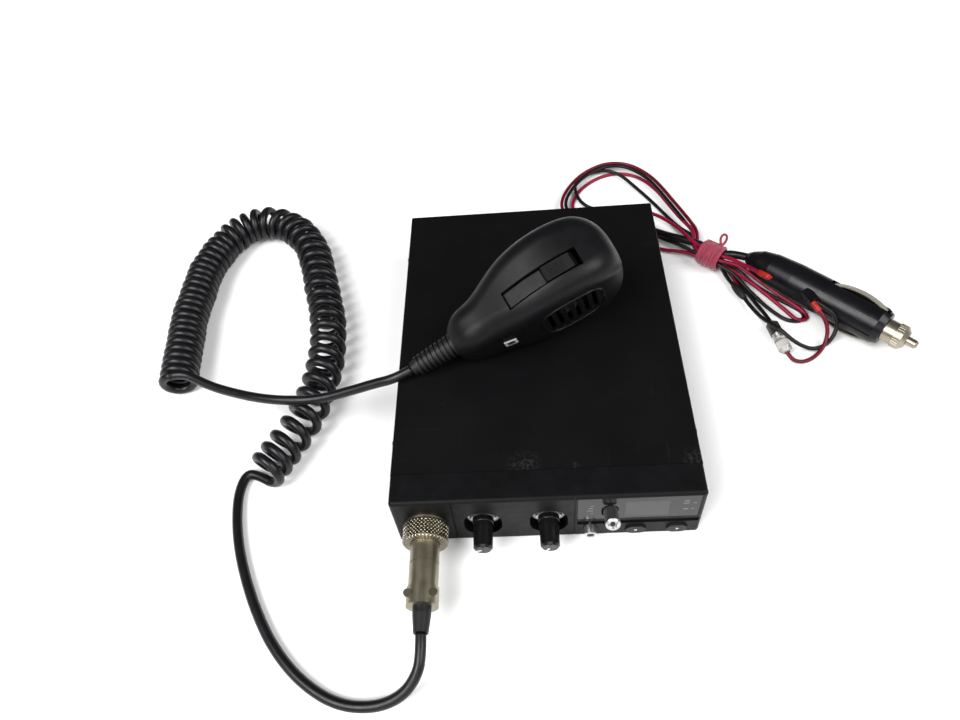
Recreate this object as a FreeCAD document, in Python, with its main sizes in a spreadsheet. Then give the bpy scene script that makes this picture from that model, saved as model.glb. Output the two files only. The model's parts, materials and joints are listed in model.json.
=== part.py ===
import FreeCAD, Part
import math
import os
import re
import Sketcher
from FreeCAD import Placement, Rotation, Vector

# Mobile transceiver with a hand microphone on a curly cord and a power lead
# with an inline fuse holder and a lighter plug.
# Millimetres.  X runs to the right along the front panel, Y to the back, Z up.
# The origin is the middle of the case's underside.

DIMS = {
    # case
    "case_width": 140, "case_depth": 188, "case_height": 37,
    "bezel_depth": 15, "bezel_wall": 2.4, "gauge": 1.2, "split_height": 18.6,
    "frame_wall": 1.4, "board_gauge": 1.6, "panel_gauge": 3,
    # controls on the front panel
    "volume_across": -29.2, "squelch_across": 0.9, "knob_up": 15.5,
    "knob_radius": 4.9, "knob_length": 15, "shaft_radius": 3,
    "dish_radius": 8.7, "dish_depth": 4.5,
    "window_left": 13.8, "window_right": 67.6, "window_low": 16.2, "window_high": 35.3,
    "lever_across": 28.2, "lever_up": 23.8, "lever_tilt": 24, "lever_cap_radius": 3.25,
    "push_across": 19.7, "push_up": 8.2, "push_radius": 2.95,
    "up_across": 40.7, "down_across": 59.5, "channel_up": 6,
    "channel_width": 9.2, "channel_height": 6.2, "button_gap": 0.3,
    # microphone connector
    "socket_across": -55.3, "socket_up": 17.5, "socket_radius": 7.9, "ring_radius": 10.4,
    # rear panel
    "antenna_across": -38, "antenna_up": 18.5, "grommet_across": 48, "grommet_up": 9,
    # handset
    "handset_length": 89, "handset_wall": 2.2, "seam": -0.9,
    "ptt_start": 31.9, "ptt_end": 70.8,
    # cords
    "mic_wire": 5, "coil_across": 21, "lead_wire": 2.2,
    # lighter plug
    "plug_radius": 10.3, "plug_up": 12.2, "contact_reach": 12,
}

doc = FreeCAD.newDocument("mobile_transceiver")
sheet = doc.addObject("Spreadsheet::Sheet", "dims")
for row, (alias, value) in enumerate(DIMS.items(), 1):
    sheet.set(f"A{row}", alias)
    sheet.set(f"B{row}", str(value))
    sheet.setAlias(f"B{row}", alias)
doc.recompute()

FRONT = -DIMS["case_depth"] / 2
BACK = DIMS["case_depth"] / 2
SIDE = DIMS["case_width"] / 2
SEAT = FRONT + DIMS["bezel_depth"]          # where the bezel ends and the covers start
TURN = {
    "x": Rotation(Vector(0, 1, 0), 90), "-x": Rotation(Vector(0, 1, 0), -90),
    "y": Rotation(Vector(1, 0, 0), -90), "-y": Rotation(Vector(1, 0, 0), 90),
    "z": Rotation(), "-z": Rotation(Vector(1, 0, 0), 180),
}
NODES = {}


# ---------------------------------------------------------------- building blocks

def with_cells(text):
    """A formula in which every alias points at its cell in the sheet."""
    return re.sub(r"[a-z][a-z_]*", lambda m: "dims." + m.group() if m.group() in DIMS else m.group(), text)


def bind(thing, **values):
    """Set properties, as formulas on the sheet where they are text."""
    for name, value in values.items():
        if isinstance(value, str):
            thing.setExpression(name, with_cells(value))
        else:
            setattr(thing, name, value)


def put(thing, at, along="z"):
    """Place a piece: its start point, and where its own Z axis points."""
    turn = TURN[along] if isinstance(along, str) else along
    thing.Placement = Placement(Vector(), turn)
    for axis, value in zip("xyz", at):
        if isinstance(value, str):
            thing.setExpression(f"Placement.Base.{axis}", with_cells(value))
        else:
            base = thing.Placement.Base
            setattr(base, axis, value)
            thing.Placement = Placement(base, turn)
    return thing


def block(at, size):
    """A box from its lowest corner."""
    piece = doc.addObject("Part::Box", "block")
    bind(piece, Length=size[0], Width=size[1], Height=size[2])
    return put(piece, at)


def rod(at, along, radius, length):
    piece = doc.addObject("Part::Cylinder", "rod")
    bind(piece, Radius=radius, Height=length)
    return put(piece, at, along)


def cone(at, along, radius1, radius2, length):
    piece = doc.addObject("Part::Cone", "cone")
    bind(piece, Radius1=radius1, Radius2=radius2, Height=length)
    return put(piece, at, along)


def ball(at, radius):
    piece = doc.addObject("Part::Sphere", "ball")
    bind(piece, Radius=radius)
    return put(piece, at)


def hexagon(at, along, flats, length):
    piece = doc.addObject("Part::Prism", "hexagon")
    bind(piece, Polygon=6, Circumradius=flats / math.sqrt(3), Height=length)
    return put(piece, at, along)


def fuse(*pieces):
    if len(pieces) == 1:
        return pieces[0]
    joined = doc.addObject("Part::MultiFuse", "joined")
    joined.Shapes = list(pieces)
    return joined


def cut(base, *tools):
    rest = doc.addObject("Part::Cut", "rest")
    rest.Base = base
    rest.Tool = fuse(*tools)
    return rest


def common(first, second):
    shared = doc.addObject("Part::Common", "shared")
    shared.Base = first
    shared.Tool = second
    return shared


def rounded(base, radius, wanted):
    """Round the edges for which wanted(edge) is true."""
    doc.recompute()
    soft = doc.addObject("Part::Fillet", "soft")
    soft.Base = base
    edges = enumerate(base.Shape.Edges, 1)
    soft.Edges = [(number, radius, radius) for number, edge in edges if wanted(edge)]
    return soft


def slot_block(at, along_z, width, height, length):
    """A bar with round left and right ends that points to +Y: at is its middle front point."""
    x, y, z = at
    half = height / 2
    reach = (width - height) / 2 if not along_z else (height - width) / 2
    end = half if not along_z else width / 2
    if along_z:
        ends = [(x, z - reach), (x, z + reach)]
        middle = block((x - end, y, z - reach), (width, length, 2 * reach))
    else:
        ends = [(x - reach, z), (x + reach, z)]
        middle = block((x - reach, y, z - end), (2 * reach, length, height))
    rods = [rod((ex, y, ez), "y", end, length) for ex, ez in ends]
    return fuse(middle, *rods)


def turned(at, along, profile):
    """A lathe-turned body.  profile lists (radius, height) corners, each a number or a formula."""
    body = doc.addObject("PartDesign::Body", "turned")
    sketch = body.newObject("Sketcher::SketchObject", "profile")
    sketch.AttachmentSupport = [(body.Origin.OriginFeatures[4], "")]
    sketch.MapMode = "FlatFace"
    doc.recompute()
    numbers = [[sheet_value(value) for value in corner] for corner in profile]
    count = len(profile)
    for i, (x, y) in enumerate(numbers):
        nx, ny = numbers[(i + 1) % count]
        sketch.addGeometry(Part.LineSegment(Vector(x, y, 0), Vector(nx, ny, 0)), False)
    for i in range(count):
        sketch.addConstraint(Sketcher.Constraint("Coincident", i, 2, (i + 1) % count, 1))
    for i, corner in enumerate(profile):
        for kind, axis, value, number in zip(("DistanceX", "DistanceY"), (-2, -1), corner, numbers[i]):
            if abs(number) < 1e-9:
                sketch.addConstraint(Sketcher.Constraint("PointOnObject", i, 1, axis))
                continue
            index = sketch.addConstraint(Sketcher.Constraint(kind, -1, 1, i, 1, number))
            if isinstance(value, str):
                sketch.setExpression(f"Constraints[{index}]", with_cells(value))
    spin = body.newObject("PartDesign::Revolution", "spin")
    spin.Profile = sketch
    spin.ReferenceAxis = (sketch, ["V_Axis"])
    spin.Angle = 360
    body.Tip = spin
    return put(body, at, along)


def sheet_value(value):
    """The number behind a value: itself, or a simple sum of aliases and numbers."""
    if not isinstance(value, str):
        return value
    total, sign = 0, 1
    for word in value.split():
        if word in "+-":
            sign = 1 if word == "+" else -1
            continue
        total += sign * (DIMS[word] if word in DIMS else float(word))
    return total


def solid(shape, at=None, turn=None):
    """A piece whose shape is set directly, for the free-form and bent ones."""
    piece = doc.addObject("Part::Feature", "free")
    piece.Shape = shape
    if at is not None:
        piece.Placement = Placement(Vector(*at), turn or Rotation())
    return piece


def node(name, *pieces):
    """Name a finished sub-part: its label is its file name."""
    piece = fuse(*pieces)
    piece.Label = name
    NODES[name] = piece
    return piece


def route_wire(points, name, smallest):
    """Straight runs joined by tangent arcs as large as the runs allow."""
    spots = [Vector(*point) for point in points]
    runs = [(b - a).Length for a, b in zip(spots, spots[1:])]
    edges, start, radii, length = [], spots[0], [], 0
    for i in range(1, len(spots) - 1):
        before = (spots[i] - spots[i - 1]).normalize()
        after = (spots[i + 1] - spots[i]).normalize()
        half = before.getAngle(after) / 2
        trim = 0.45 * min(runs[i - 1], runs[i])
        radius = trim / math.tan(half)
        radii.append(round(radius, 1))
        enter = spots[i] - before * trim
        leave = spots[i] + after * trim
        inward = (after - before).normalize()
        centre = spots[i] + inward * (radius / math.cos(half))
        middle = centre - inward * radius
        edges.append(Part.LineSegment(start, enter).toShape())
        edges.append(Part.Arc(enter, middle, leave).toShape())
        length += (enter - start).Length + 2 * half * radius
        start = leave
    edges.append(Part.LineSegment(start, spots[-1]).toShape())
    length += (spots[-1] - start).Length
    tight = "" if not radii or min(radii) >= smallest else "  TIGHTER THAN WANTED"
    print(f"{name}: length {length:.1f}, smallest radius {min(radii or [0])}, radii {radii}{tight}")
    return Part.Wire(edges), length


def tube(points, diameter, name, bends=3):
    """A plain round cord along its route."""
    path, length = route_wire(points, name, bends * diameter)
    first = Vector(*points[1]) - Vector(*points[0])
    disc = Part.Wire(Part.Circle(Vector(*points[0]), first, diameter / 2).toShape())
    shape = path.makePipeShell([disc], True, False)
    wanted = math.pi * diameter ** 2 / 4 * length
    if abs(shape.Volume / wanted - 1) > 0.01 or not shape.isValid():
        print(f"{name}: volume {shape.Volume:.0f} is not {wanted:.0f}")
    return shape


# ---------------------------------------------------------------- case

def covers():
    """Two folded sheet covers that meet at mid height, with the speaker slots in the lower one."""
    depth = "case_depth - bezel_depth - 0.2"
    start = "bezel_depth - case_depth / 2 + 0.2"

    def folded(low, height, inside_low):
        outer = block(("-case_width / 2", start, low), ("case_width", depth, height))
        edge_height = DIMS["case_height"] if low != 0 else 0
        soft = rounded(outer, 1.1, lambda edge: long_edge(edge, edge_height))
        inside = block(("gauge - case_width / 2", "-case_depth / 2", inside_low),
                       ("case_width - 2 * gauge", "case_depth + 10", "split_height - gauge + 1.4"))
        return soft, inside

    def long_edge(edge, height):
        ends = [vertex.Point for vertex in edge.Vertexes]
        along = abs(ends[0].y - ends[1].y) > 50
        return along and abs(ends[0].z - height) < 0.01

    top, hollow = folded("split_height + 0.1", "case_height - split_height - 0.1", "case_height - split_height - 1.4")
    holes = [rod((-80, y, 28), "x", 1.5, 160) for y in SCREW_ROWS]
    holes.append(rod((-80, 12, 27), "x", 4.6, 160))
    node("top_cover", cut(top, hollow, *holes))

    low, hollow = folded(0, "split_height - 0.1", "gauge")
    holes = [rod((-80, y, 9), "x", 1.5, 160) for y in SCREW_ROWS]
    slots = [block((SPEAKER[0] - 22, SPEAKER[1] - 20 + 5 * i, -1), (44, 2, 4)) for i in range(9)]
    node("bottom_cover", cut(low, hollow, *holes, *slots))


def chassis():
    """The steel frame: side walls, front wall, board ledges and the wall openings."""
    low, high = 1.3, DIMS["case_height"] - 1.3
    outer = block(("gauge + 0.1 - case_width / 2", SEAT + 0.2, low),
                  ("case_width - 2 * gauge - 0.2", BACK - 3.6 - SEAT - 0.2, high - low))
    inside = block(("gauge + 0.1 + frame_wall - case_width / 2", f"{SEAT + 0.2} + frame_wall", 0),
                   ("case_width - 2 * gauge - 0.2 - 2 * frame_wall", 200, 40))
    ledges = [block((x, SEAT + 1, 15.2), (4.6, BACK - 3.6 - SEAT - 1, 1.4)) for x in (-67.8, 63.2)]
    openings = [
        rod(("socket_across", SEAT - 2, "socket_up"), "y", 8.4, 8),
        rod(("volume_across", SEAT - 2, "knob_up"), "y", 3.6, 8),
        rod(("squelch_across", SEAT - 2, "knob_up"), "y", 3.6, 8),
        block((15, SEAT - 2, 5), (52, 8, 28)),
    ]
    for y in SCREW_ROWS:
        openings += [rod((-80, y, z), "x", 1.5, 160) for z in (9, 28)]
    openings.append(rod((-80, 12, 27), "x", 3.4, 160))
    node("chassis_frame", cut(fuse(cut(outer, inside), *ledges), *openings))

    panel = block(("gauge + 0.1 - case_width / 2", "case_depth / 2 - 0.5 - panel_gauge", low),
                  ("case_width - 2 * gauge - 0.2", "panel_gauge", high - low))
    holes = [
        rod(("antenna_across", BACK - 10, "antenna_up"), "y", 7.9, 20),
        rod(("grommet_across", BACK - 10, "grommet_up"), "y", 4.5, 20),
    ]
    holes += [rod((x, BACK - 10, z), "y", 1.5, 20) for x, z in antenna_screw_spots()]
    holes += [rod((x, BACK - 10, 10), "y", 3, 20) for x in JACKS]
    node("rear_panel", cut(panel, *holes))


def antenna_screw_spots():
    middle = DIMS["antenna_across"], DIMS["antenna_up"]
    return [(middle[0] + 9 * i, middle[1] + 9 * j) for i in (-1, 1) for j in (-1, 1)]


def case_screws():
    """Eight cover screws and four antenna flange screws, all alike."""
    def screw(at, along):
        head = rod(at, along, 2.6, 1.5)
        step = TURN[along].multVec(Vector(0, 0, 1))
        start = Vector(*at) - step * 4.6
        return fuse(head, rod(tuple(start), along, 1.5, 4.7))

    screws = []
    for y in SCREW_ROWS:
        for z in (9, 28):
            screws += [screw((SIDE, y, z), "x"), screw((-SIDE, y, z), "-x")]
    screws += [screw((x, BACK + 1.5, z), "y") for x, z in antenna_screw_spots()]
    doc.recompute()
    node("case_screws", solid(Part.makeCompound([screw.Shape for screw in screws])))


def bracket_inserts():
    """A threaded insert in each side wall, which the mounting bracket's knobs screw into."""
    pieces = []
    for way, along in ((1, "x"), (-1, "-x")):
        barrel = rod((way * (SIDE - 6.8), 12, 27), along, 3.4, 6.8)
        collar = rod((way * (SIDE - 1.2), 12, 27), along, 4.6, 1.2)
        bore = rod((way * (SIDE - 7), 12, 27), along, 2.5, 8)
        pieces.append(cut(fuse(barrel, collar), bore))
    doc.recompute()
    node("bracket_inserts", solid(Part.makeCompound([piece.Shape for piece in pieces])))


def inside_of_case():
    """Main board, front board, speaker."""
    board = block((-66.8, SEAT + 14, 16.6), (133.6, 148, "board_gauge"))
    room = rod((SPEAKER[0], SPEAKER[1], 10), "z", 18, 12)
    chips = [block((x, y, 18), (w, l, t)) for x, y, w, l, t in CHIPS]
    node("main_board", cut(fuse(board, *chips), room))

    front = block((15.4, SEAT - 7, 3), (50.6, "board_gauge", 31))
    node("front_board", front)

    x, y = SPEAKER
    basket = turned((x, y, 1.4), "z", [(20, 0), (30, 0), (30, 1.2), (27.5, 1.2), (14, 9), (14, 18), (0, 18),
                                       (0, 16.4), (12.4, 16.4), (12.4, 8), (26, 1), (20, 1)])
    node("speaker_basket", basket)
    paper = turned((x, y, 1.4), "z", [(0, 5.6), (5, 7.2), (6.2, 7.2), (24, 1.1), (24.8, 1.1), (24.8, 1.4),
                                      (24.3, 1.5), (6.6, 7.6), (6.6, 12), (6, 12), (6, 7.6), (0, 6)])
    node("speaker_cone", paper)


def rear_sockets():
    """Antenna socket with its flange, its centre contact, two jacks and the lead's grommet."""
    x, z = DIMS["antenna_across"], DIMS["antenna_up"]
    flange = block((x - 12.5, BACK - 0.5, z - 12.5), (25, 2, 25))
    barrel = rod((x, BACK - 6, z), "y", 7.85, 18)
    bore = rod((x, BACK - 8, z), "y", 5.4, 24)
    holes = [rod((sx, BACK - 8, sz), "y", 1.5, 20) for sx, sz in antenna_screw_spots()]
    node("antenna_socket", cut(fuse(flange, barrel), bore, *holes))
    insert = fuse(rod((x, BACK - 4, z), "y", 5.4, 9), rod((x, BACK - 9, z), "y", 2.4, 19))
    node("antenna_contact", cut(insert, rod((x, BACK + 2, z), "y", 1.95, 10)))

    jacks = []
    for jx in JACKS:
        shell = fuse(block((jx - 4.5, BACK - 15.5, 5.5), (9, 11.8, 9)), rod((jx, BACK - 6, 10), "y", 3, 7),
                     hexagon((jx, BACK - 0.5, 10), "y", 8, 1))
        jacks.append(cut(shell, rod((jx, BACK - 13, 10), "y", 1.75, 20)))
    doc.recompute()
    node("accessory_jacks", solid(Part.makeCompound([jack.Shape for jack in jacks])))

    x, z = DIMS["grommet_across"], DIMS["grommet_up"]
    rubber = turned((x, BACK - 5, z), "y", [(0, 0), (6, 0), (6, 1.4), (4.5, 1.5), (4.5, 4.5), (6, 4.6),
                                            (5.4, 7), (0, 7)])
    node("lead_grommet", rubber)


def bezel():
    """The moulded front panel with its dished knob places, window bed and button holes."""
    block_out = block(("-case_width / 2", "-case_depth / 2", 0), ("case_width", "bezel_depth", "case_height"))
    shell = rounded(block_out, 1.8, lambda edge: front_edge(edge))
    hollow = block(("bezel_wall + 0.2 - case_width / 2", "bezel_wall - case_depth / 2", "bezel_wall"),
                   ("case_width - 2 * bezel_wall - 0.4", "bezel_depth", "case_height - 2 * bezel_wall"))
    dish = DIMS["dish_depth"]
    cups, holes = [], []
    for x in (DIMS["volume_across"], DIMS["squelch_across"]):
        z = DIMS["knob_up"]
        wide, tall = 2 * DIMS["dish_radius"], 2 * DIMS["dish_radius"] + 3.6
        cups.append(slot_block((x, FRONT + 1, z), True, wide + 3.2, tall + 3.2, dish + 1))
        holes.append(slot_block((x, FRONT - 1, z), True, wide, tall, dish + 1))
        holes.append(rod((x, FRONT, z), "y", 3.6, 12))
    window = block(("window_left", "-case_depth / 2 - 1", "window_low"),
                   ("window_right - window_left", 2.6, "window_high - window_low"))
    light = block(("window_left + 2", "-case_depth / 2 - 1", "window_low + 1.5"),
                  ("window_right - window_left - 4", 10, "window_high - window_low - 3"))
    rail = block(("window_left", "-case_depth / 2 - 1", 11.4), ("window_right - window_left + 1", 1.8, 3.6))
    grooves = [block((x, FRONT - 1, -1), (0.7, 1.6, 39)) for x in (-42.5, 12.2)]
    gap = DIMS["button_gap"]
    holes += [window, light, rail, *grooves]
    holes.append(rod(("push_across", FRONT - 1, "push_up"), "y", f"push_radius + {gap}", 8))
    for x in (DIMS["up_across"], DIMS["down_across"]):
        size = DIMS["channel_width"] + 2 * gap, DIMS["channel_height"] + 2 * gap
        holes.append(slot_block((x, FRONT - 1, DIMS["channel_up"]), False, *size, 8))
    holes.append(rod(("socket_across", FRONT - 1, "socket_up"), "y", "socket_radius + 0.1", 8))
    node("front_bezel", cut(fuse(cut(shell, hollow), *cups), *holes))


def front_edge(edge):
    """True on the four edges of the bezel's face and its four corner edges that run back."""
    ends = [vertex.Point for vertex in edge.Vertexes]
    return all(abs(point.y - FRONT) < 0.01 for point in ends) or abs(ends[0].y - ends[1].y) > 1


def display():
    """Window plate with the lever's slot, and the display module behind it."""
    plate = block(("window_left + 0.1", "-case_depth / 2 + 0.1", "window_low + 0.1"),
                  ("window_right - window_left - 0.2", 1.5, "window_high - window_low - 0.2"))
    slot = slot_block((DIMS["lever_across"], FRONT - 1, DIMS["lever_up"]), True, 7.6, 10.8, 4)
    node("display_window", cut(plate, slot))
    node("display_module", block((33.6, FRONT + 1.9, 18), (22, SEAT - 7 - FRONT - 1.9, 14)))


def switches():
    """The lever's switch body and the three small switches behind the buttons."""
    x, z = DIMS["lever_across"], DIMS["lever_up"]
    shell = block((x - 4, FRONT + 2.5, z - 6.8), (8, SEAT - 7 - FRONT - 2.5, 13.6))
    slot = block((x - 2, FRONT, z - 5.6), (4, 7.4, 11.2))
    pivots = rod((x - 3.2, LEVER_PIVOT_Y, z), "x", 0.75, 6.4)
    node("mode_switch", cut(shell, slot, pivots))
    spots = [(DIMS["push_across"], DIMS["push_up"]), (DIMS["up_across"], DIMS["channel_up"]),
             (DIMS["down_across"], DIMS["channel_up"])]
    pieces = []
    for sx, sz in spots:
        can = block((sx - 3, SEAT - 8.9, sz - 2.8), (6, 1.9, 5.6))
        pieces.append(fuse(can, rod((sx, SEAT - 9.5, sz), "y", 1.6, 0.8)))
    doc.recompute()
    node("tact_switches", solid(Part.makeCompound([piece.Shape for piece in pieces])))


def knobs():
    """Two potentiometers with nuts and washers, their shafts and knobs."""
    face = FRONT + DIMS["dish_depth"]
    pots, nuts = [], []
    for name, across in (("volume", "volume_across"), ("squelch", "squelch_across")):
        x, z = DIMS[across], DIMS["knob_up"]
        can = rod((x, SEAT + 1.7, z), "y", 7.8, 9)
        lugs = block((x - 5, SEAT + 4, z - 11), (10, 1.2, 6))
        bushing = rod((x, FRONT + 2.5, z), "y", 3.5, SEAT + 2 - FRONT - 2.5)
        bore = rod((x, FRONT, z), "y", "shaft_radius + 0.05", SEAT + 8 - FRONT)
        pots.append(cut(fuse(can, lugs, bushing), bore))
        washer = rod((x, face - 0.5, z), "y", 7.6, 0.5)
        nut = hexagon((x, face - 1.9, z), "y", 10.6, 1.4)
        nuts.append(cut(fuse(washer, nut), rod((x, face - 3, z), "y", 3.5, 6)))
        shaft = rod((x, FRONT - DIMS["knob_length"] + 5, z), "y", "shaft_radius", SEAT + 7 - FRONT + 10)
        node(f"{name}_shaft", shaft)
        node(f"{name}_knob", knob((x, FRONT + 2.2, z)))
    doc.recompute()
    node("control_pots", solid(Part.makeCompound([pot.Shape for pot in pots])))
    node("pot_nuts", solid(Part.makeCompound([nut.Shape for nut in nuts])))


def knob(at):
    """A slim push-on knob: grooved sides, rounded nose and a pointer rib."""
    big, length = DIMS["knob_radius"], DIMS["knob_length"]
    x, y, z = at
    form = turned(at, "-y", [(0, 0), ("knob_radius", 0), ("knob_radius", 2), ("knob_radius - 0.3", 2.4),
                             ("knob_radius - 0.5", length - 1), ("knob_radius - 1.4", length), (0, length)])
    bore = rod(at, "-y", "shaft_radius", length - 2.6)
    grooves = []
    for i in range(12):
        angle = 2 * math.pi * (i + 0.5) / 12
        gx, gz = x + (big + 0.2) * math.cos(angle), z + (big + 0.2) * math.sin(angle)
        grooves.append(rod((gx, y - 3.2, gz), "-y", 0.65, length))
    rib = block((x - 0.5, y - length - 0.35, z + 0.6), (1, 1.6, big - 2.2))
    return fuse(cut(form, bore, *grooves), rib)


def lever():
    """A toggle with a hollow-ended cap, tipped up in its first of three positions."""
    tilt = math.radians(DIMS["lever_tilt"])
    x, z = DIMS["lever_across"], DIMS["lever_up"]
    start = Vector(x, LEVER_PIVOT_Y, z)
    ahead = Vector(0, -math.cos(tilt), math.sin(tilt))
    turn = Rotation(Vector(0, 0, 1), ahead)

    def along(distance):
        return tuple(start + ahead * distance)

    stem = rod(along(0), turn, 1.35, 9)
    hub = ball(tuple(start), 1.6)
    pins = rod((x - 3, LEVER_PIVOT_Y, z), "x", 0.7, 6)
    cap = turned(along(7.4), turn, [(0, 0), (2.4, 0), ("lever_cap_radius", 0.9),
                                    ("lever_cap_radius", 9.4), (2.7, 9.8), (2.2, 9.8), (1.6, 8.8), (0, 8.5)])
    node("mode_lever", stem, hub, pins, cap)


def buttons():
    """Push button beside the lever and the two channel buttons."""
    x, z = DIMS["push_across"], DIMS["push_up"]
    head = turned((x, FRONT + 3.8, z), "-y", [(0, 0), ("push_radius + 0.8", 0), ("push_radius + 0.8", 1),
                                              ("push_radius", 1), ("push_radius", 7.6), (2.5, 8),
                                              (2, 8), (1.2, 7.2), (0, 7)])
    stem = rod((x, FRONT + 3.7, z), "y", 1, 0.9)
    node("push_button", head, stem)
    for name, across in (("channel_up_button", "up_across"), ("channel_down_button", "down_across")):
        x, z = DIMS[across], DIMS["channel_up"]
        size = DIMS["channel_width"], DIMS["channel_height"]
        face = slot_block((x, FRONT - 1.1, z), False, *size, 4.4)
        lip = block((x - 5.8, FRONT + 2.7, z - 2.8), (11.6, 0.9, 5.6))
        post = rod((x, FRONT + 3.2, z), "y", 1, 1.4)
        node(name, face, lip, post)


# ---------------------------------------------------------------- microphone plug

def mic_connector():
    """Panel socket, and the plug with its knurled coupling ring, barrel, clamp and sleeve."""
    x, z = DIMS["socket_across"], DIMS["socket_up"]
    seat = FRONT
    shell = turned((x, seat + 15, z), "-y", [(6.2, 0), ("socket_radius", 0), ("socket_radius", 15),
                                             (9.6, 15), (9.6, 15.9), ("socket_radius", 15.9),
                                             ("socket_radius", 22), (6.2, 22)])
    floor = rod((x, seat + 9, z), "-y", 6.4, 3)
    pins = [rod((x + px, seat + 6.2, z + pz), "-y", 0.75, 11) for px, pz in PINS]
    node("mic_socket", shell, floor, *pins)

    ring = turned((x, seat - 1.1, z), "-y", [(8, 0), ("ring_radius - 0.5", 0), ("ring_radius", 0.5),
                                             ("ring_radius", 8.4), ("ring_radius - 0.6", 9.1),
                                             (6.75, 9.1), (6.75, 8.1), (8, 8.1)])
    notches = []
    for i in range(36):
        angle = 2 * math.pi * i / 36
        reach = DIMS["ring_radius"] + 0.25
        spot = (x + reach * math.cos(angle), seat - 2.6, z + reach * math.sin(angle))
        notches.append(rod(spot, "-y", 0.5, 6))
    node("mic_plug_ring", cut(ring, *notches))

    front = turned((x, seat + 2, z), "-y", [(0, 0), (6, 0), (6, 9.4), (7.6, 9.4), (7.6, 10.9), (6.6, 10.9),
                                            (6.6, 21.4), (6.3, 21.5), (6.3, 21.9), (6.6, 22),
                                            (6.6, 32.4), (4.3, 32.4), (4.3, 14), (0, 14)])
    sockets = [rod((x + px, seat + 3, z + pz), "-y", 0.95, 9) for px, pz in PINS]
    node("mic_plug_barrel", cut(front, *sockets))

    clamp = cut(rod((x, seat - 30.4, z), "-y", 7.1, 8.4), rod((x, seat - 30, z), "-y", 4.1, 12),
                *[rod((x + s * 5.6, seat - 34.6, z - 8), "z", 1.1, 20) for s in (-1, 1)],
                *[rod((x + s * 5.6, seat - 34.6, z + 5.2), "z", 1.9, 4) for s in (-1, 1)])
    node("mic_plug_clamp", clamp)
    screws = [fuse(rod((x + s * 5.6, seat - 34.6, z - 4.2), "z", 1.1, 9.5),
                   rod((x + s * 5.6, seat - 34.6, z + 5.2), "z", 1.85, 1.3)) for s in (-1, 1)]
    doc.recompute()
    node("mic_clamp_screws", solid(Part.makeCompound([screw.Shape for screw in screws])))

    sleeve = turned((x, seat - 24, z), "-y", [(0, 0), (4.1, 0), (4.1, 18), (3.3, 26), (0, 26)])
    node("mic_plug_sleeve", sleeve)


# ---------------------------------------------------------------- handset

def handset_frame():
    """The handset's own frame: X to the head, Y to the talk bar, Z out of the front."""
    heading, rise, lean = HANDSET_TURN
    turn = Rotation(Vector(0, 0, 1), heading)
    turn = turn.multiply(Rotation(Vector(0, 1, 0), -rise))
    turn = turn.multiply(Rotation(Vector(1, 0, 0), 90 + lean))
    return Placement(Vector(*HANDSET_AT), turn)


def handset_place(piece):
    """Carry a piece that was built in the handset's frame to where the handset lies."""
    piece.Placement = handset_frame().multiply(piece.Placement)
    return piece


def ring_section(x, half, front, rear, corner):
    """A rounded rectangle across the handset."""
    corner = min(corner, 0.9 * half, 0.45 * (front + rear))
    spots = [(half, front), (-half, front), (-half, -rear), (half, -rear)]
    edges = []
    for i, (y, z) in enumerate(spots):
        py, pz = spots[i - 1]
        ny, nz = spots[(i + 1) % 4]
        here = Vector(x, y, z)
        before = (Vector(x, py, pz) - here).normalize()
        after = (Vector(x, ny, nz) - here).normalize()
        start, end = here + before * corner, here + after * corner
        middle = here + (before + after) * corner * (1 - math.sqrt(0.5))
        edges.append(Part.Arc(start, middle, end).toShape())
    joined = []
    for i, edge in enumerate(edges):
        joined.append(edge)
        after = edges[(i + 1) % 4]
        joined.append(Part.LineSegment(edge.Vertexes[-1].Point, after.Vertexes[0].Point).toShape())
    return Part.Wire(joined)


def handset_form(inset, start, end):
    """The handset's rounded outline, drawn in by inset, from start to end along X."""
    sections = []
    for x, half, front, rear in HANDSET_SECTIONS:
        if start <= x <= end:
            sections.append(ring_section(x, half - inset, front - inset, rear - inset, 10 - inset / 2))
    return Part.makeLoft(sections, True, False)


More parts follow.
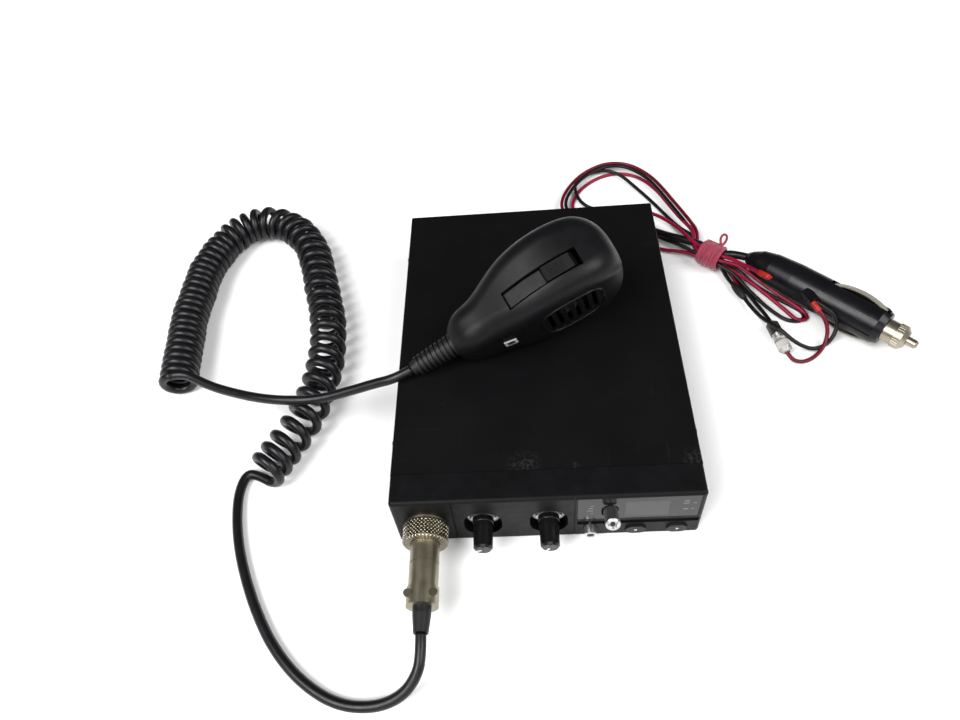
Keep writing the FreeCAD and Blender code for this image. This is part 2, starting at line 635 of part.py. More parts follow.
def handset():
    """Front and rear shells with the talk bar, switch, capsule, stud, screws and strain relief."""
    wall = DIMS["handset_wall"]
    outer = handset_form(0, 0, 90)
    inner = handset_form(wall, 5, 85)
    shell = outer.cut(inner)
    seam = DIMS["seam"]
    ahead = Part.makeBox(120, 80, 40, Vector(-10, -40, seam))
    behind = Part.makeBox(120, 80, 40, Vector(-10, -40, seam - 40))
    gland = Part.makeCylinder(4.3, 9, Vector(-1, 0, 0), Vector(1, 0, 0))
    opening = Part.makeBox(DIMS["ptt_end"] - DIMS["ptt_start"], 14, 9.3,
                           Vector(DIMS["ptt_start"], 16.5, seam))
    ear_box = (7, 6.4, 2.2)
    front_ear = Part.makeBox(*ear_box, Vector(31.5, 16.6, 8.4))
    rear_ear = Part.makeBox(*ear_box, Vector(31.5, 16.6, seam - 2.2))
    pin_hole = Part.makeCylinder(1.06, 16, Vector(PTT_PIVOT[0], PTT_PIVOT[1], -5), Vector(0, 0, 1))
    bosses, threads, heads = [], [], []
    for x, y, rear in SHELL_SCREWS:
        bosses.append(Part.makeCylinder(3, 17, Vector(x, y, seam)))
        threads.append(Part.makeCylinder(1.4, 40, Vector(x, y, -30)))
        heads.append(Part.makeCylinder(2.9, 20, Vector(x, y, -rear - 18.2)))
    slots = []
    for i in range(6):
        slots.append(Part.makeBox(2.2, 26, 12, Vector(44.6 + 4.6 * i, -13, 8)))
    front = shell.common(ahead).cut(opening).fuse([front_ear.common(outer)])
    front = front.fuse([boss.common(outer) for boss in bosses])
    front = front.cut([gland, pin_hole, *slots])
    front = front.cut([Part.makeCylinder(1.4, 13, Vector(x, y, seam - 1)) for x, y, rear in SHELL_SCREWS])
    posts = []
    for x, y, rear in SHELL_SCREWS:
        posts.append(Part.makeCylinder(3, rear - 1 + seam, Vector(x, y, -rear + 1)))
    back = shell.common(behind).fuse([rear_ear.common(outer)] + [post.common(outer) for post in posts])
    stud_hole = Part.makeCylinder(3.2, 12, Vector(STUD[0], STUD[1], -26))
    back = back.cut([gland, pin_hole, stud_hole, *threads, *heads])
    node("mic_front_shell", handset_place(solid(front.removeSplitter())))
    node("mic_rear_shell", handset_place(solid(back.removeSplitter())))

    start, end = DIMS["ptt_start"] + 0.5, DIMS["ptt_end"] - 1.8
    side = [(start, 17.8), (end, 17.8), (end, 23), (end - 2, 25.8), (53, 26.6), (52, 25), (44, 24.3), (start, 21)]
    outline = Part.makePolygon([Vector(x, y, seam + 0.5) for x, y in side + side[:1]])
    bar = Part.Face(outline).extrude(Vector(0, 0, 7.3))
    bar = bar.fuse(Part.makeCylinder(1, 12.2, Vector(PTT_PIVOT[0], PTT_PIVOT[1], seam - 1.7)))
    node("ptt_bar", handset_place(solid(bar.removeSplitter())))
    switch = Part.makeBox(8, 5.4, 6.4, Vector(56, 9.6, 0))
    switch = switch.fuse(Part.makeCylinder(1, 1.2, Vector(60, 14.9, 3.2), Vector(0, 1, 0)))
    shelf = Part.makeBox(24, 22, 1.6, Vector(40, -10, -2.4)).fuse(Part.makeBox(3, 4, 3, Vector(57, 9, -2)))
    node("ptt_switch", handset_place(solid(switch.fuse(shelf).removeSplitter())))
    capsule = Part.makeCylinder(5, 6.5, Vector(56, 0, 7.6))
    node("mic_capsule", handset_place(solid(capsule)))
    x, y = STUD
    stud = Part.makeCylinder(3.2, 6, Vector(x, y, -22.8)).fuse(Part.makeCylinder(6.6, 1.9, Vector(x, y, -24.6)))
    stud = stud.fuse(Part.makeCylinder(4.4, 1.6, Vector(x, y, -22.8)))
    node("hanger_stud", handset_place(solid(stud.removeSplitter())))
    screws = []
    for x, y, rear in SHELL_SCREWS:
        head = Part.makeCylinder(2.8, 1.6, Vector(x, y, -rear + 0.2))
        screws.append(head.fuse(Part.makeCylinder(1.4, rear + 6, Vector(x, y, -rear + 0.3))))
    node("mic_shell_screws", handset_place(solid(Part.makeCompound(screws))))
    relief()


def relief():
    """The ribbed strain relief at the handset's foot."""
    profile = [(0, 6.8), (4.3, 6.8), (4.3, 0), (6.1, 0)]
    rings, pitch = 9, 2.5
    for i in range(rings):
        radius = 6 - 1.1 * i / (rings - 1)
        low = -pitch * i
        profile += [(radius, low - 1.6), (radius - 1.2, low - 1.7), (radius - 1.2, low - 2.4)]
        if i < rings - 1:
            profile.append((6 - 1.1 * (i + 1) / (rings - 1), low - 2.5))
    profile += [(3.6, -23.2), (3.4, -24.3), (0, -24.3)]
    piece = turned((0, 0, 0), "x", profile)
    node("mic_strain_relief", handset_place(piece))


# ---------------------------------------------------------------- cords

def mic_cord():
    """Handset lead, the curly stretch as one fat tube, and the tail to the plug."""
    wire = DIMS["mic_wire"]
    node("mic_cord_lead", solid(tube(MIC_LEAD, wire, "mic_cord_lead")))
    node("mic_cord_coil", solid(tube(MIC_COIL, DIMS["coil_across"], "mic_cord_coil", 0.55)))
    # the tail is moulded into its tight bend where it leaves the coil
    node("mic_cord_tail", solid(tube(MIC_TAIL, wire, "mic_cord_tail", 1.2)))


def power_lead():
    """The lead out of the grommet, the tied hank, and the loose strands to holder and plug."""
    wire = DIMS["lead_wire"]
    node("power_lead_exit", solid(tube(LEAD_EXIT, 5, "power_lead_exit", 2)))
    # the loop comes back beside its own start, so it is made as two halves that meet in a ball
    halves = [tube(HANK_OUT, 9, "hank loop, out", 1.5), tube(HANK_BACK, 9, "hank loop, back", 1.5)]
    meet = Part.makeSphere(4.5, Vector(*HANK_BACK[0]))
    neck = Part.makeCylinder(5.4, 20, Vector(*NECK_FROM), Vector(*NECK_WAY))
    fold = tube(HANK_FOLD, 4.6, "hank fold", 2)
    node("power_lead_hank", solid(neck.fuse([*halves, meet, fold]).removeSplitter()))

    middle = Vector(*NECK_FROM) + Vector(*NECK_WAY) * 3
    band = Part.makeCylinder(7.4, 14, middle, Vector(*NECK_WAY))
    band = band.cut(Part.makeCylinder(5.4, 30, middle - Vector(*NECK_WAY) * 5, Vector(*NECK_WAY)))
    node("lead_tie", solid(band))

    spare = tube(SPARE_LEAD, wire, "spare_lead", 3)
    tip, before = Vector(*SPARE_LEAD[-1]), Vector(*SPARE_LEAD[-2])
    way = (tip - before).normalize()
    sleeve = Part.makeCylinder(1.9, 7, tip - way * 1, way)
    node("spare_lead", solid(spare.fuse(sleeve).removeSplitter()))
    node("fuse_feed_lead", solid(tube(FUSE_FEED, wire, "fuse_feed_lead", 3)))
    node("fuse_plug_lead", solid(tube(FUSE_PLUG, wire, "fuse_plug_lead", 3)))
    node("black_lead_loop", solid(tube(BLACK_LOOP, wire, "black_lead_loop", 3)))


def fuse_holder():
    """Inline holder: dark body with its spring end, and the clear cap."""
    start, end = Vector(*FUSE_FEED[-1]), Vector(*FUSE_PLUG[0])
    way = (end - start).normalize()
    turn = Rotation(Vector(0, 0, 1), way)
    length = (end - start).Length
    join = length - 9
    body = turned(tuple(start), turn, [(0, 0), (1.6, 0), (3.5, 2), (3.5, 9), (2.6, 9.2), (2.6, join), (0, join)])
    node("fuse_holder_body", body)
    cap = turned(tuple(start + way * join), turn, [(0, 0), (3.5, 0), (3.5, 6.8), (1.8, 9), (0, 9)])
    node("fuse_holder_cap", cap)


def lighter_plug():
    """Moulded plug body with side contacts, a nickel nose and a sprung tip."""
    turn = Rotation(Vector(0, 0, 1), Vector(1, -1, 0))
    foot = Vector(PLUG_LINE / 2, PLUG_LINE / 2, DIMS["plug_up"])
    ahead = Vector(1, -1, 0).normalize()

    def at(distance):
        return tuple(foot + ahead * distance)

    body = turned(at(38), turn, [(0, 0), (2.6, 0), (4.6, 2.4), (7.6, 8), (9.4, 16), ("plug_radius", 30),
                                 ("plug_radius", 80), ("plug_radius - 1.6", 83.6), (5.2, 83.6),
                                 (5.2, 52), (0, 52)])
    ribs = []
    for angle in (128, 152, 176):
        ribs.append(plug_block(foot, angle, 84, 34, DIMS["plug_radius"] - 0.5, 0.9, 1.3))
    beds = [plug_block(foot, angle, 86.6, 33.4, 6.8, 8, 6.8) for angle in CONTACT_ANGLES]
    boss_from = foot + ahead * 79.5 + plug_direction(150) * 8
    boss_to = foot + ahead * 86.5 + plug_direction(155) * 13
    boss_way = boss_to - boss_from
    boss = Part.makeCone(3.6, 2.7, boss_way.Length, boss_from, boss_way)
    print("side exit ends at", boss_to, "facing", boss_way.normalize())
    doc.recompute()
    shape = body.Shape.fuse([boss]).cut(beds + ribs)
    node("plug_body", solid(shape.removeSplitter()))

    nose = turned(at(121.9), turn, [(2.7, 0), (6.2, 0), (6.2, 5.2), (6.7, 5.4), (6.7, 9.4), (4.4, 11.6),
                                    (2.7, 11.6)])
    notches = []
    for i in range(30):
        angle = 12 * i
        spot = Vector(*at(127.5)) + plug_direction(angle) * 6.9
        notches.append(Part.makeCylinder(0.35, 3.6, spot, ahead))
    doc.recompute()
    node("plug_nose", solid(nose.Shape.cut(notches)))
    tip = turned(at(120), turn, [(0, 0), (4, 0), (4, 1.4), (2.3, 1.4), (2.3, 18), (1.5, 19), (0, 19)])
    node("plug_tip", tip)
    for name, angle in zip(("plug_contact_upper", "plug_contact_lower"), CONTACT_ANGLES):
        node(name, solid(contact_strip(foot, ahead, angle)))


def plug_direction(angle):
    """Outward from the plug's axis: 0 is level to the back, 90 is up."""
    turn = math.radians(angle)
    level = Vector(1, 1, 0).normalize()
    return level * math.cos(turn) + Vector(0, 0, 1) * math.sin(turn)


def plug_block(foot, angle, start, length, inner, depth, width):
    """A bar along the plug, standing off its axis by inner."""
    out = plug_direction(angle)
    ahead = Vector(1, -1, 0).normalize()
    across = out.cross(ahead)
    piece = Part.makeBox(width, depth, length)
    turn = Rotation(across, out, ahead, "ZYX")
    piece.Placement = Placement(foot + ahead * start + out * inner - across * (width / 2), turn)
    return piece


def contact_strip(foot, ahead, angle):
    """A bowed spring strip that stands proud of the plug's side."""
    out = plug_direction(angle)
    across = ahead.cross(out)
    reach, gauge = DIMS["contact_reach"], 0.7

    def arc(drop):
        low, high = 9 - drop, reach - drop
        spots = [foot + ahead * a + out * r for a, r in ((88, low), (103, high), (118, low))]
        return Part.Arc(*spots).toShape()

    upper, lower = arc(0), arc(gauge)
    ends = [Part.LineSegment(upper.Vertexes[i].Point, lower.Vertexes[i].Point).toShape() for i in (0, -1)]
    face = Part.Face(Part.Wire(Part.__sortEdges__([upper, lower, *ends])))
    face.translate(across * -2.8)
    return face.extrude(across * 5.6)


# ---------------------------------------------------------------- places

SCREW_ROWS = (-58, 66)
SPEAKER = (14, -18)
JACKS = (-4, 14)
PINS = [(2.6, 2.6), (-2.6, 2.6), (2.6, -2.6), (-2.6, -2.6)]
CHIPS = [(-50, 40, 18, 12, 3), (-20, 48, 10, 10, 2), (20, 40, 26, 16, 10), (-52, -40, 14, 14, 9),
         (-50, 0, 20, 9, 6), (42, 10, 12, 12, 12)]
LEVER_PIVOT_Y = FRONT + 5.5

HANDSET_AT = (-40.1, -14.9, 50.6)
HANDSET_TURN = (21.6, 18.1, 18.8)     # heading, rise towards the head, lean onto its front
HANDSET_SECTIONS = [     # along, half width, front depth, rear depth
    (0, 10.2, 8, 6), (15, 17.4, 12.8, 12), (30, 22.6, 15.2, 16.8), (48, 27.2, 16.8, 20.4),
    (66, 27.2, 17.2, 20.6), (78, 23.8, 16.5, 18.6), (85, 18, 13.6, 14.2), (88, 11, 9, 9.5),
]
SHELL_SCREWS = [(17, 0, 11.9), (73, 13, 19.4), (73, -13, 19.4)]
STUD = (55, 0)
PTT_PIVOT = (34.8, 19.6)

MIC_LEAD = [(-62, -23.6, 42.9), (-71, -27, 40.4), (-80.5, -26.4, 37), (-95.5, -26.4, 31.2), (-113, -26.8, 25.8),
            (-131, -25.8, 24.9), (-147, -21.5, 22.6), (-161.5, -15.4, 19.6), (-175, -9.6, 18.2), (-186, -4.4, 18.3),
            (-196, -2.6, 18.8)]
MIC_COIL = [(-199, -1, 10.8), (-202.5, 27, 10.8), (-204.5, 57, 10.8), (-203, 86, 10.8), (-197, 110, 10.8),
            (-180, 129, 10.8), (-158, 127, 10.8), (-141.5, 109, 10.8), (-131, 84, 10.8), (-125, 60, 10.8),
            (-119.6, 38, 10.8), (-116.6, 16, 10.8), (-118, -6, 10.8), (-123.5, -27, 10.8), (-131, -44, 10.8),
            (-139.6, -60, 10.8)]
MIC_TAIL = [(-145, -54, 3.4), (-151.4, -57.6, 3), (-153.6, -66, 3), (-152.8, -78, 3), (-148.8, -94, 3),
            (-142.5, -110, 3), (-134, -127, 3), (-123, -144, 3), (-108.5, -158.5, 3), (-92, -168, 3),
            (-75.5, -169.8, 4.2), (-63.2, -166.4, 8), (-56.4, -159, 13), (-55, -151, 16.6), (-55.3, -144, 17.5)]

NECK_FROM = (96.5, 85.5, 8.4)
NECK_WAY = (0.77, -0.638, 0)
LEAD_EXIT = [(48, 96, 9), (48.6, 106.6, 8.6), (56.6, 113, 7), (68, 110.6, 5.4), (79, 102.6, 5.4), (87, 93.4, 6.8),
             (95.5, 84.8, 8.4)]
HANK_OUT = [(99, 83.6, 8.2), (101.5, 96, 6.4), (98.5, 112, 5), (92, 131, 4.9), (83, 149, 4.9), (70, 163, 4.9),
            (53, 168.6, 4.9), (36, 161.5, 4.9), (26.5, 147, 4.9)]
HANK_BACK = [(26.5, 147, 4.9), (28.5, 131, 4.9), (42, 122.5, 4.9), (58, 126, 4.9), (74, 124.5, 4.9),
             (87, 112.5, 5), (94, 98.5, 6.4), (97.5, 86.6, 8.2)]
HANK_FOLD = [(108, 75.5, 8.4), (116.5, 66.5, 7.8), (126, 53.6, 6), (136, 41, 3.9), (146.5, 31.6, 2.7)]
SPARE_LEAD = [(109, 76.5, 11.4), (115.5, 70.3, 15.8), (122.5, 62.5, 20), (128.6, 54.4, 23.4)]
FUSE_FEED = [(110.2, 74.6, 6.4), (116.4, 65.2, 3.6), (121.4, 54.6, 2), (125.2, 43.4, 2), (128, 34.6, 3),
             (129.6, 27, 4)]
FUSE_PLUG = [(133.4, 5.5, 4), (134.1, 1.2, 3.6), (136.6, -2.4, 2.6), (140.8, -4, 1.8), (145.6, -3, 1.6),
             (150.6, 0.4, 1.6), (154.4, 5, 2.6), (156.4, 10.2, 5.4), (156.2, 14.8, 10), (153.8, 18.6, 14.6),
             (150.6, 22.6, 17.2), (149.1, 27.8, 17.7)]
BLACK_LOOP = [(107.4, 72.4, 5.6), (112.6, 63.2, 3), (117.8, 52.6, 1.7), (121.6, 40.4, 2), (125, 28.6, 5.6),
              (130.2, 17.4, 12), (138, 9.2, 8), (147.6, 7.6, 2.8), (156, 10.4, 2.8), (160.8, 15.4, 7.2),
              (160.8, 19.8, 13.4), (155.6, 23, 17.8), (151.5, 28.2, 17.7)]

PLUG_LINE = 195
CONTACT_ANGLES = (60, 240)


# ---------------------------------------------------------------- build and export

chassis()
covers()
case_screws()
bracket_inserts()
inside_of_case()
rear_sockets()
bezel()
display()
switches()
knobs()
lever()
buttons()
mic_connector()
handset()
mic_cord()
power_lead()
fuse_holder()
lighter_plug()
doc.recompute()

os.makedirs("parts", exist_ok=True)
for thing in doc.Objects:
    if "Invalid" in thing.State or "Error" in thing.State:
        print("BROKEN", thing.Name, thing.Label, thing.State)
for name, piece in NODES.items():
    shape = piece.Shape
    if shape.isNull() or not shape.isValid():
        print("BAD SHAPE", name)
        continue
    solids = len(shape.Solids)
    box = shape.BoundBox
    print(f"{name}: {solids} solid, volume {shape.Volume:.0f}, z {box.ZMin:.1f} to {box.ZMax:.1f}")
    shape.exportStep(f"parts/{name}.step")
print(len(NODES), "nodes")
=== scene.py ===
import json
import math

import bmesh
import bpy
from mathutils import Matrix, Vector


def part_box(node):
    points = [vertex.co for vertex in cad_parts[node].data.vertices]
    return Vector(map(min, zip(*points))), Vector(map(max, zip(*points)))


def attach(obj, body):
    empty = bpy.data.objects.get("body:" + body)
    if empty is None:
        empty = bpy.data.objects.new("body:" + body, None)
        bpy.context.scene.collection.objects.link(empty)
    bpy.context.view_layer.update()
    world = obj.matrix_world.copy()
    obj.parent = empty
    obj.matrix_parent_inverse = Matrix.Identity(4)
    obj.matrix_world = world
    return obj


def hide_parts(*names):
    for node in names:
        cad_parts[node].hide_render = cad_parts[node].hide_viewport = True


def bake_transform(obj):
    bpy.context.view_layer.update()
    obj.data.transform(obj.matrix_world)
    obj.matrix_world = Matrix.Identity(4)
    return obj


# Looks for a mobile transceiver with a hand microphone on a curly cord and a tied power lead.
# Places are in millimetres in the part's frame, and mm() turns them into metres.

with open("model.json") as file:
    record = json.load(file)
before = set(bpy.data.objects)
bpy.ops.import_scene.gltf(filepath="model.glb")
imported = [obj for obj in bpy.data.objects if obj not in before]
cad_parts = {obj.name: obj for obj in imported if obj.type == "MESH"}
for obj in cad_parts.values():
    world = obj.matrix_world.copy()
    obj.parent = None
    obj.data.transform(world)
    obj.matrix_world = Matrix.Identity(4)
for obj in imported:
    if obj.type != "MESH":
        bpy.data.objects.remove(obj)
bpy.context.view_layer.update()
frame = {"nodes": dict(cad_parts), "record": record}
NODES = frame["nodes"]

UP = Vector((0, 0, 1))


def mm(*place):
    return Vector(place) * 0.001


def size_of(node):
    """Lowest corner, highest corner and middle of a CAD node, in millimetres."""
    low, high = (corner * 1000 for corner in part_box(node))
    return low, high, (low + high) / 2


# ---------------------------------------------------------------- materials

class Look:
    """A procedural material around one Principled shader, in the part's own coordinates."""

    def __init__(self, name, colour, roughness, metallic=0.0, **sockets):
        self.material = bpy.data.materials.new(name)
        self.material.use_nodes = True
        self.tree = self.material.node_tree
        self.shader = self.tree.nodes["Principled BSDF"]
        self.shader.inputs["Base Color"].default_value = (*colour, 1)
        self.shader.inputs["Roughness"].default_value = roughness
        self.shader.inputs["Metallic"].default_value = metallic
        for socket, value in sockets.items():
            self.shader.inputs[socket.replace("_", " ")].default_value = value
        self.spot = self.add("TexCoord", "Object")

    def add(self, kind, result, inputs=(), **settings):
        """A node of this kind, with its inputs linked or set; returns the named output."""
        node = self.tree.nodes.new("ShaderNode" + kind)
        for setting, value in settings.items():
            setattr(node, setting, value)
        for socket, value in dict(inputs).items():
            if isinstance(value, bpy.types.NodeSocket):
                self.tree.links.new(value, node.inputs[socket])
            else:
                node.inputs[socket].default_value = value
        return node.outputs[result]

    def join(self, source, socket):
        self.tree.links.new(source, self.shader.inputs[socket])
        return self

    def noise(self, size, detail=3, stretch=(1, 1, 1), turn=0.0):
        """Cloudy values with blobs about size millimetres across."""
        spot = self.add("Mapping", 0, {"Vector": self.spot, "Scale": stretch, "Rotation": (0, 0, turn)})
        return self.add("TexNoise", 0, {"Vector": spot, "Scale": 1000 / size, "Detail": detail})

    def cells(self, size):
        """Distance from the middle of the nearest cell, for cells about size millimetres across."""
        spot = self.add("Mapping", 0, {"Vector": self.spot})
        return self.add("TexVoronoi", "Distance", {"Vector": spot, "Scale": 1000 / size})

    def between(self, source, start, end, low=0.0, high=1.0):
        """source from start to end, made to run from low to high."""
        return self.add("MapRange", 0, {"Value": source, "From Min": start, "From Max": end,
                                        "To Min": low, "To Max": high})

    def axes(self, spot):
        """The X, Y and Z parts of a place, by name."""
        parts = self.tree.nodes.new("ShaderNodeSeparateXYZ")
        self.tree.links.new(spot, parts.inputs[0])
        return parts.outputs

    def maths(self, operation, first, second=0.0):
        return self.add("Math", 0, {0: first, 1: second}, operation=operation)

    def near(self, place, reach):
        """1 at a place, falling to 0 at reach millimetres from it."""
        away = self.add("VectorMath", "Value", {0: self.spot, 1: mm(*place)}, operation="DISTANCE")
        return self.between(away, 0, reach / 1000, 1, 0)

    def ramp(self, source, *stops):
        """A colour for each value of source; stops are (value, colour)."""
        node = self.tree.nodes.new("ShaderNodeValToRGB")
        self.tree.links.new(source, node.inputs[0])
        elements = node.color_ramp.elements
        while len(elements) < len(stops):
            elements.new(0.5)
        for element, (value, colour) in zip(elements, stops):
            element.position = value
            element.color = (*colour, 1)
        self.tree.links.new(node.outputs[0], self.shader.inputs["Base Color"])
        return self

    def rough(self, source, low, high, start=0.3, end=0.7):
        return self.join(self.between(source, start, end, low, high), "Roughness")

    def bump(self, height, depth, strength=1.0):
        """Relief whose full height is depth millimetres."""
        relief = self.add("Bump", 0, {"Height": height, "Distance": depth / 1000, "Strength": strength})
        return self.join(relief, "Normal")


def tinted(colour, factor):
    return tuple(channel * factor for channel in colour)


def moulded(name, colour, low, high, grain=0.5, depth=0.03, **sockets):
    """Moulded plastic or rubber: slight colour drift, fine grain and uneven gloss."""
    look = Look(name, colour, low, **sockets)
    cloud = look.noise(14)
    look.ramp(cloud, (0.3, tinted(colour, 0.75)), (0.7, tinted(colour, 1.3)))
    look.rough(look.noise(5, 5), low, high)
    return look.bump(look.noise(grain, 2), depth)


def metal(name, colour, low, high, stretch=(1, 1, 1), grain=0.5, depth=0.006):
    """Bare or plated metal: fine marks, which stretch draws out along an axis."""
    look = Look(name, colour, low, 1.0)
    cloud = look.noise(9, 4)
    look.ramp(cloud, (0.3, tinted(colour, 0.8)), (0.7, tinted(colour, 1.1)))
    marks = look.noise(grain, 4, stretch)
    look.rough(marks, low, high)
    return look.bump(marks, depth)


def case_paint():
    """Satin black paint with fine texture, dust, light scratches and worn spots at the front edge."""
    low, high, _ = size_of("top_cover")
    black = (0.0026, 0.0027, 0.003)
    look = Look("satin_case_paint", black, 0.5, Specular_IOR_Level=0.1)
    lines = look.between(look.noise(0.9, 2, (1, 0.02, 1), 0.7), 0.7, 0.74)
    across = look.between(look.noise(1.1, 2, (0.02, 1, 1), 0.4), 0.71, 0.75)
    corner = look.near((high.x - 3, low.y + 2, high.z), 7)
    left = look.near((-9, low.y + 2, high.z), 9)
    right = look.near((14, low.y + 1, high.z), 2.4)
    worn = look.maths("ADD", look.maths("ADD", corner, left), right)
    patchy = look.maths("MULTIPLY", worn, look.between(look.noise(1.6, 5), 0.45, 0.62))
    marks = look.maths("MULTIPLY", look.maths("MAXIMUM", lines, across),
                       look.between(look.noise(60), 0.45, 0.65))
    dust = look.between(look.cells(6), 0.06, 0.035)
    dust = look.maths("MULTIPLY", dust, look.between(look.noise(25), 0.5, 0.6))
    shown = look.maths("ADD", look.maths("MULTIPLY", marks, 0.1), look.maths("MULTIPLY", patchy, 0.28))
    shown = look.maths("MAXIMUM", shown, look.maths("MULTIPLY", dust, 0.22))
    look.ramp(shown, (0.0, black), (0.3, (0.02, 0.02, 0.021)), (1.0, (0.22, 0.22, 0.22)))
    look.rough(look.noise(30, 6), 0.42, 0.58)
    return look.bump(look.noise(0.45, 2), 0.02)


KNURL_RIDGES = 36
KNURL_PITCH = 0.0018     # metres along the ring


def knurled(name, colour):
    """Nickel with a diamond knurl round an axis along Y, its grooves painted darker as shade."""
    centre = size_of("mic_plug_ring")[2]
    look = Look(name, colour, 0.24, 1.0)
    spot = look.add("VectorMath", "Vector", {0: look.spot, 1: centre / 1000}, operation="SUBTRACT")
    parts = look.axes(spot)
    angle = look.maths("ARCTAN2", parts["Z"], parts["X"])
    around = look.maths("MULTIPLY", angle, KNURL_RIDGES)
    along = look.maths("MULTIPLY", parts["Y"], 2 * math.pi / KNURL_PITCH)
    crossed = [look.maths("SINE", look.maths(way, around, along)) for way in ("ADD", "SUBTRACT")]
    diamonds = look.maths("MULTIPLY", look.between(crossed[0], -1, 1), look.between(crossed[1], -1, 1))
    # Painted shade: the knurl's grooves are coloured darker than its raised diamonds.
    look.ramp(diamonds, (0.0, tinted(colour, 0.45)), (0.35, colour))
    look.rough(look.noise(3, 4), 0.2, 0.34)
    return look.bump(diamonds, 0.22)


def cord_jacket(name, colour, low, high, **sockets):
    """Smooth extruded insulation with faint handling marks."""
    look = Look(name, colour, low, **sockets)
    cloud = look.noise(7, 4)
    look.ramp(cloud, (0.3, tinted(colour, 0.7)), (0.7, tinted(colour, 1.25)))
    look.rough(look.noise(2.4, 4), low, high)
    return look.bump(look.noise(0.9, 3), 0.02)


def twisted_thread():
    """Pinkish red tie cord with fine spun strands."""
    colour = (0.2, 0.007, 0.028)
    look = Look("tie_thread", colour, 0.75)
    look.shader.inputs["Sheen Weight"].default_value = 0.3
    strands = look.noise(0.5, 3, (1, 1, 0.35), 0.6)
    look.ramp(strands, (0.3, tinted(colour, 0.55)), (0.7, (0.34, 0.022, 0.062)))
    look.rough(strands, 0.65, 0.9)
    return look.bump(strands, 0.14)


def smoked_window():
    """A dark plate through which the display behind shows as a slightly paler rectangle."""
    _, high, centre = size_of("display_module")
    look = Look("smoked_window", (0.009, 0.009, 0.009), 0.12, Specular_IOR_Level=0.28)
    parts = look.axes(look.spot)
    away = [look.maths("ABSOLUTE", look.maths("SUBTRACT", parts[axis], middle / 1000))
            for axis, middle in (("X", centre.x), ("Z", centre.z))]
    sides = [look.between(away[0], (high.x - centre.x - 1.6) / 1000, (high.x - centre.x - 1.3) / 1000),
             look.between(away[1], (high.z - centre.z - 0.6) / 1000, (high.z - centre.z - 0.3) / 1000)]
    look.ramp(look.maths("MAXIMUM", *sides), (0.0, (0.032, 0.031, 0.03)), (1.0, (0.009, 0.009, 0.009)))
    look.rough(look.noise(5, 5), 0.1, 0.2)
    return look.bump(look.noise(6), 0.004)


def liquid_crystal():
    """A dark grey-green panel with a darker frame."""
    _, high, centre = size_of("display_module")
    look = Look("liquid_crystal", (0.05, 0.055, 0.045), 0.2)
    parts = look.axes(look.spot)
    across = look.maths("ABSOLUTE", look.maths("SUBTRACT", parts["X"], centre.x / 1000))
    rise = look.maths("ABSOLUTE", look.maths("SUBTRACT", parts["Z"], centre.z / 1000))
    edge_x = look.between(across, (high.x - centre.x - 1.6) / 1000, (high.x - centre.x - 1.2) / 1000)
    edge_z = look.between(rise, (high.z - centre.z - 1.6) / 1000, (high.z - centre.z - 1.2) / 1000)
    rim = look.maths("MAXIMUM", edge_x, edge_z)
    look.ramp(rim, (0.0, (0.085, 0.09, 0.075)), (1.0, (0.02, 0.02, 0.02)))
    return look.rough(look.noise(4), 0.15, 0.3)


def circuit_board():
    """Green solder resist with paler spots."""
    look = Look("circuit_board", (0.02, 0.09, 0.04), 0.4)
    look.ramp(look.cells(4), (0.25, (0.018, 0.09, 0.035)), (0.3, (0.03, 0.14, 0.06)),
              (0.9, (0.05, 0.16, 0.08)))
    look.rough(look.noise(3), 0.3, 0.5)
    return look.bump(look.cells(2.2), 0.05)


BLACK = (0.0026, 0.0027, 0.0031)
NICKEL = (0.3, 0.27, 0.195)

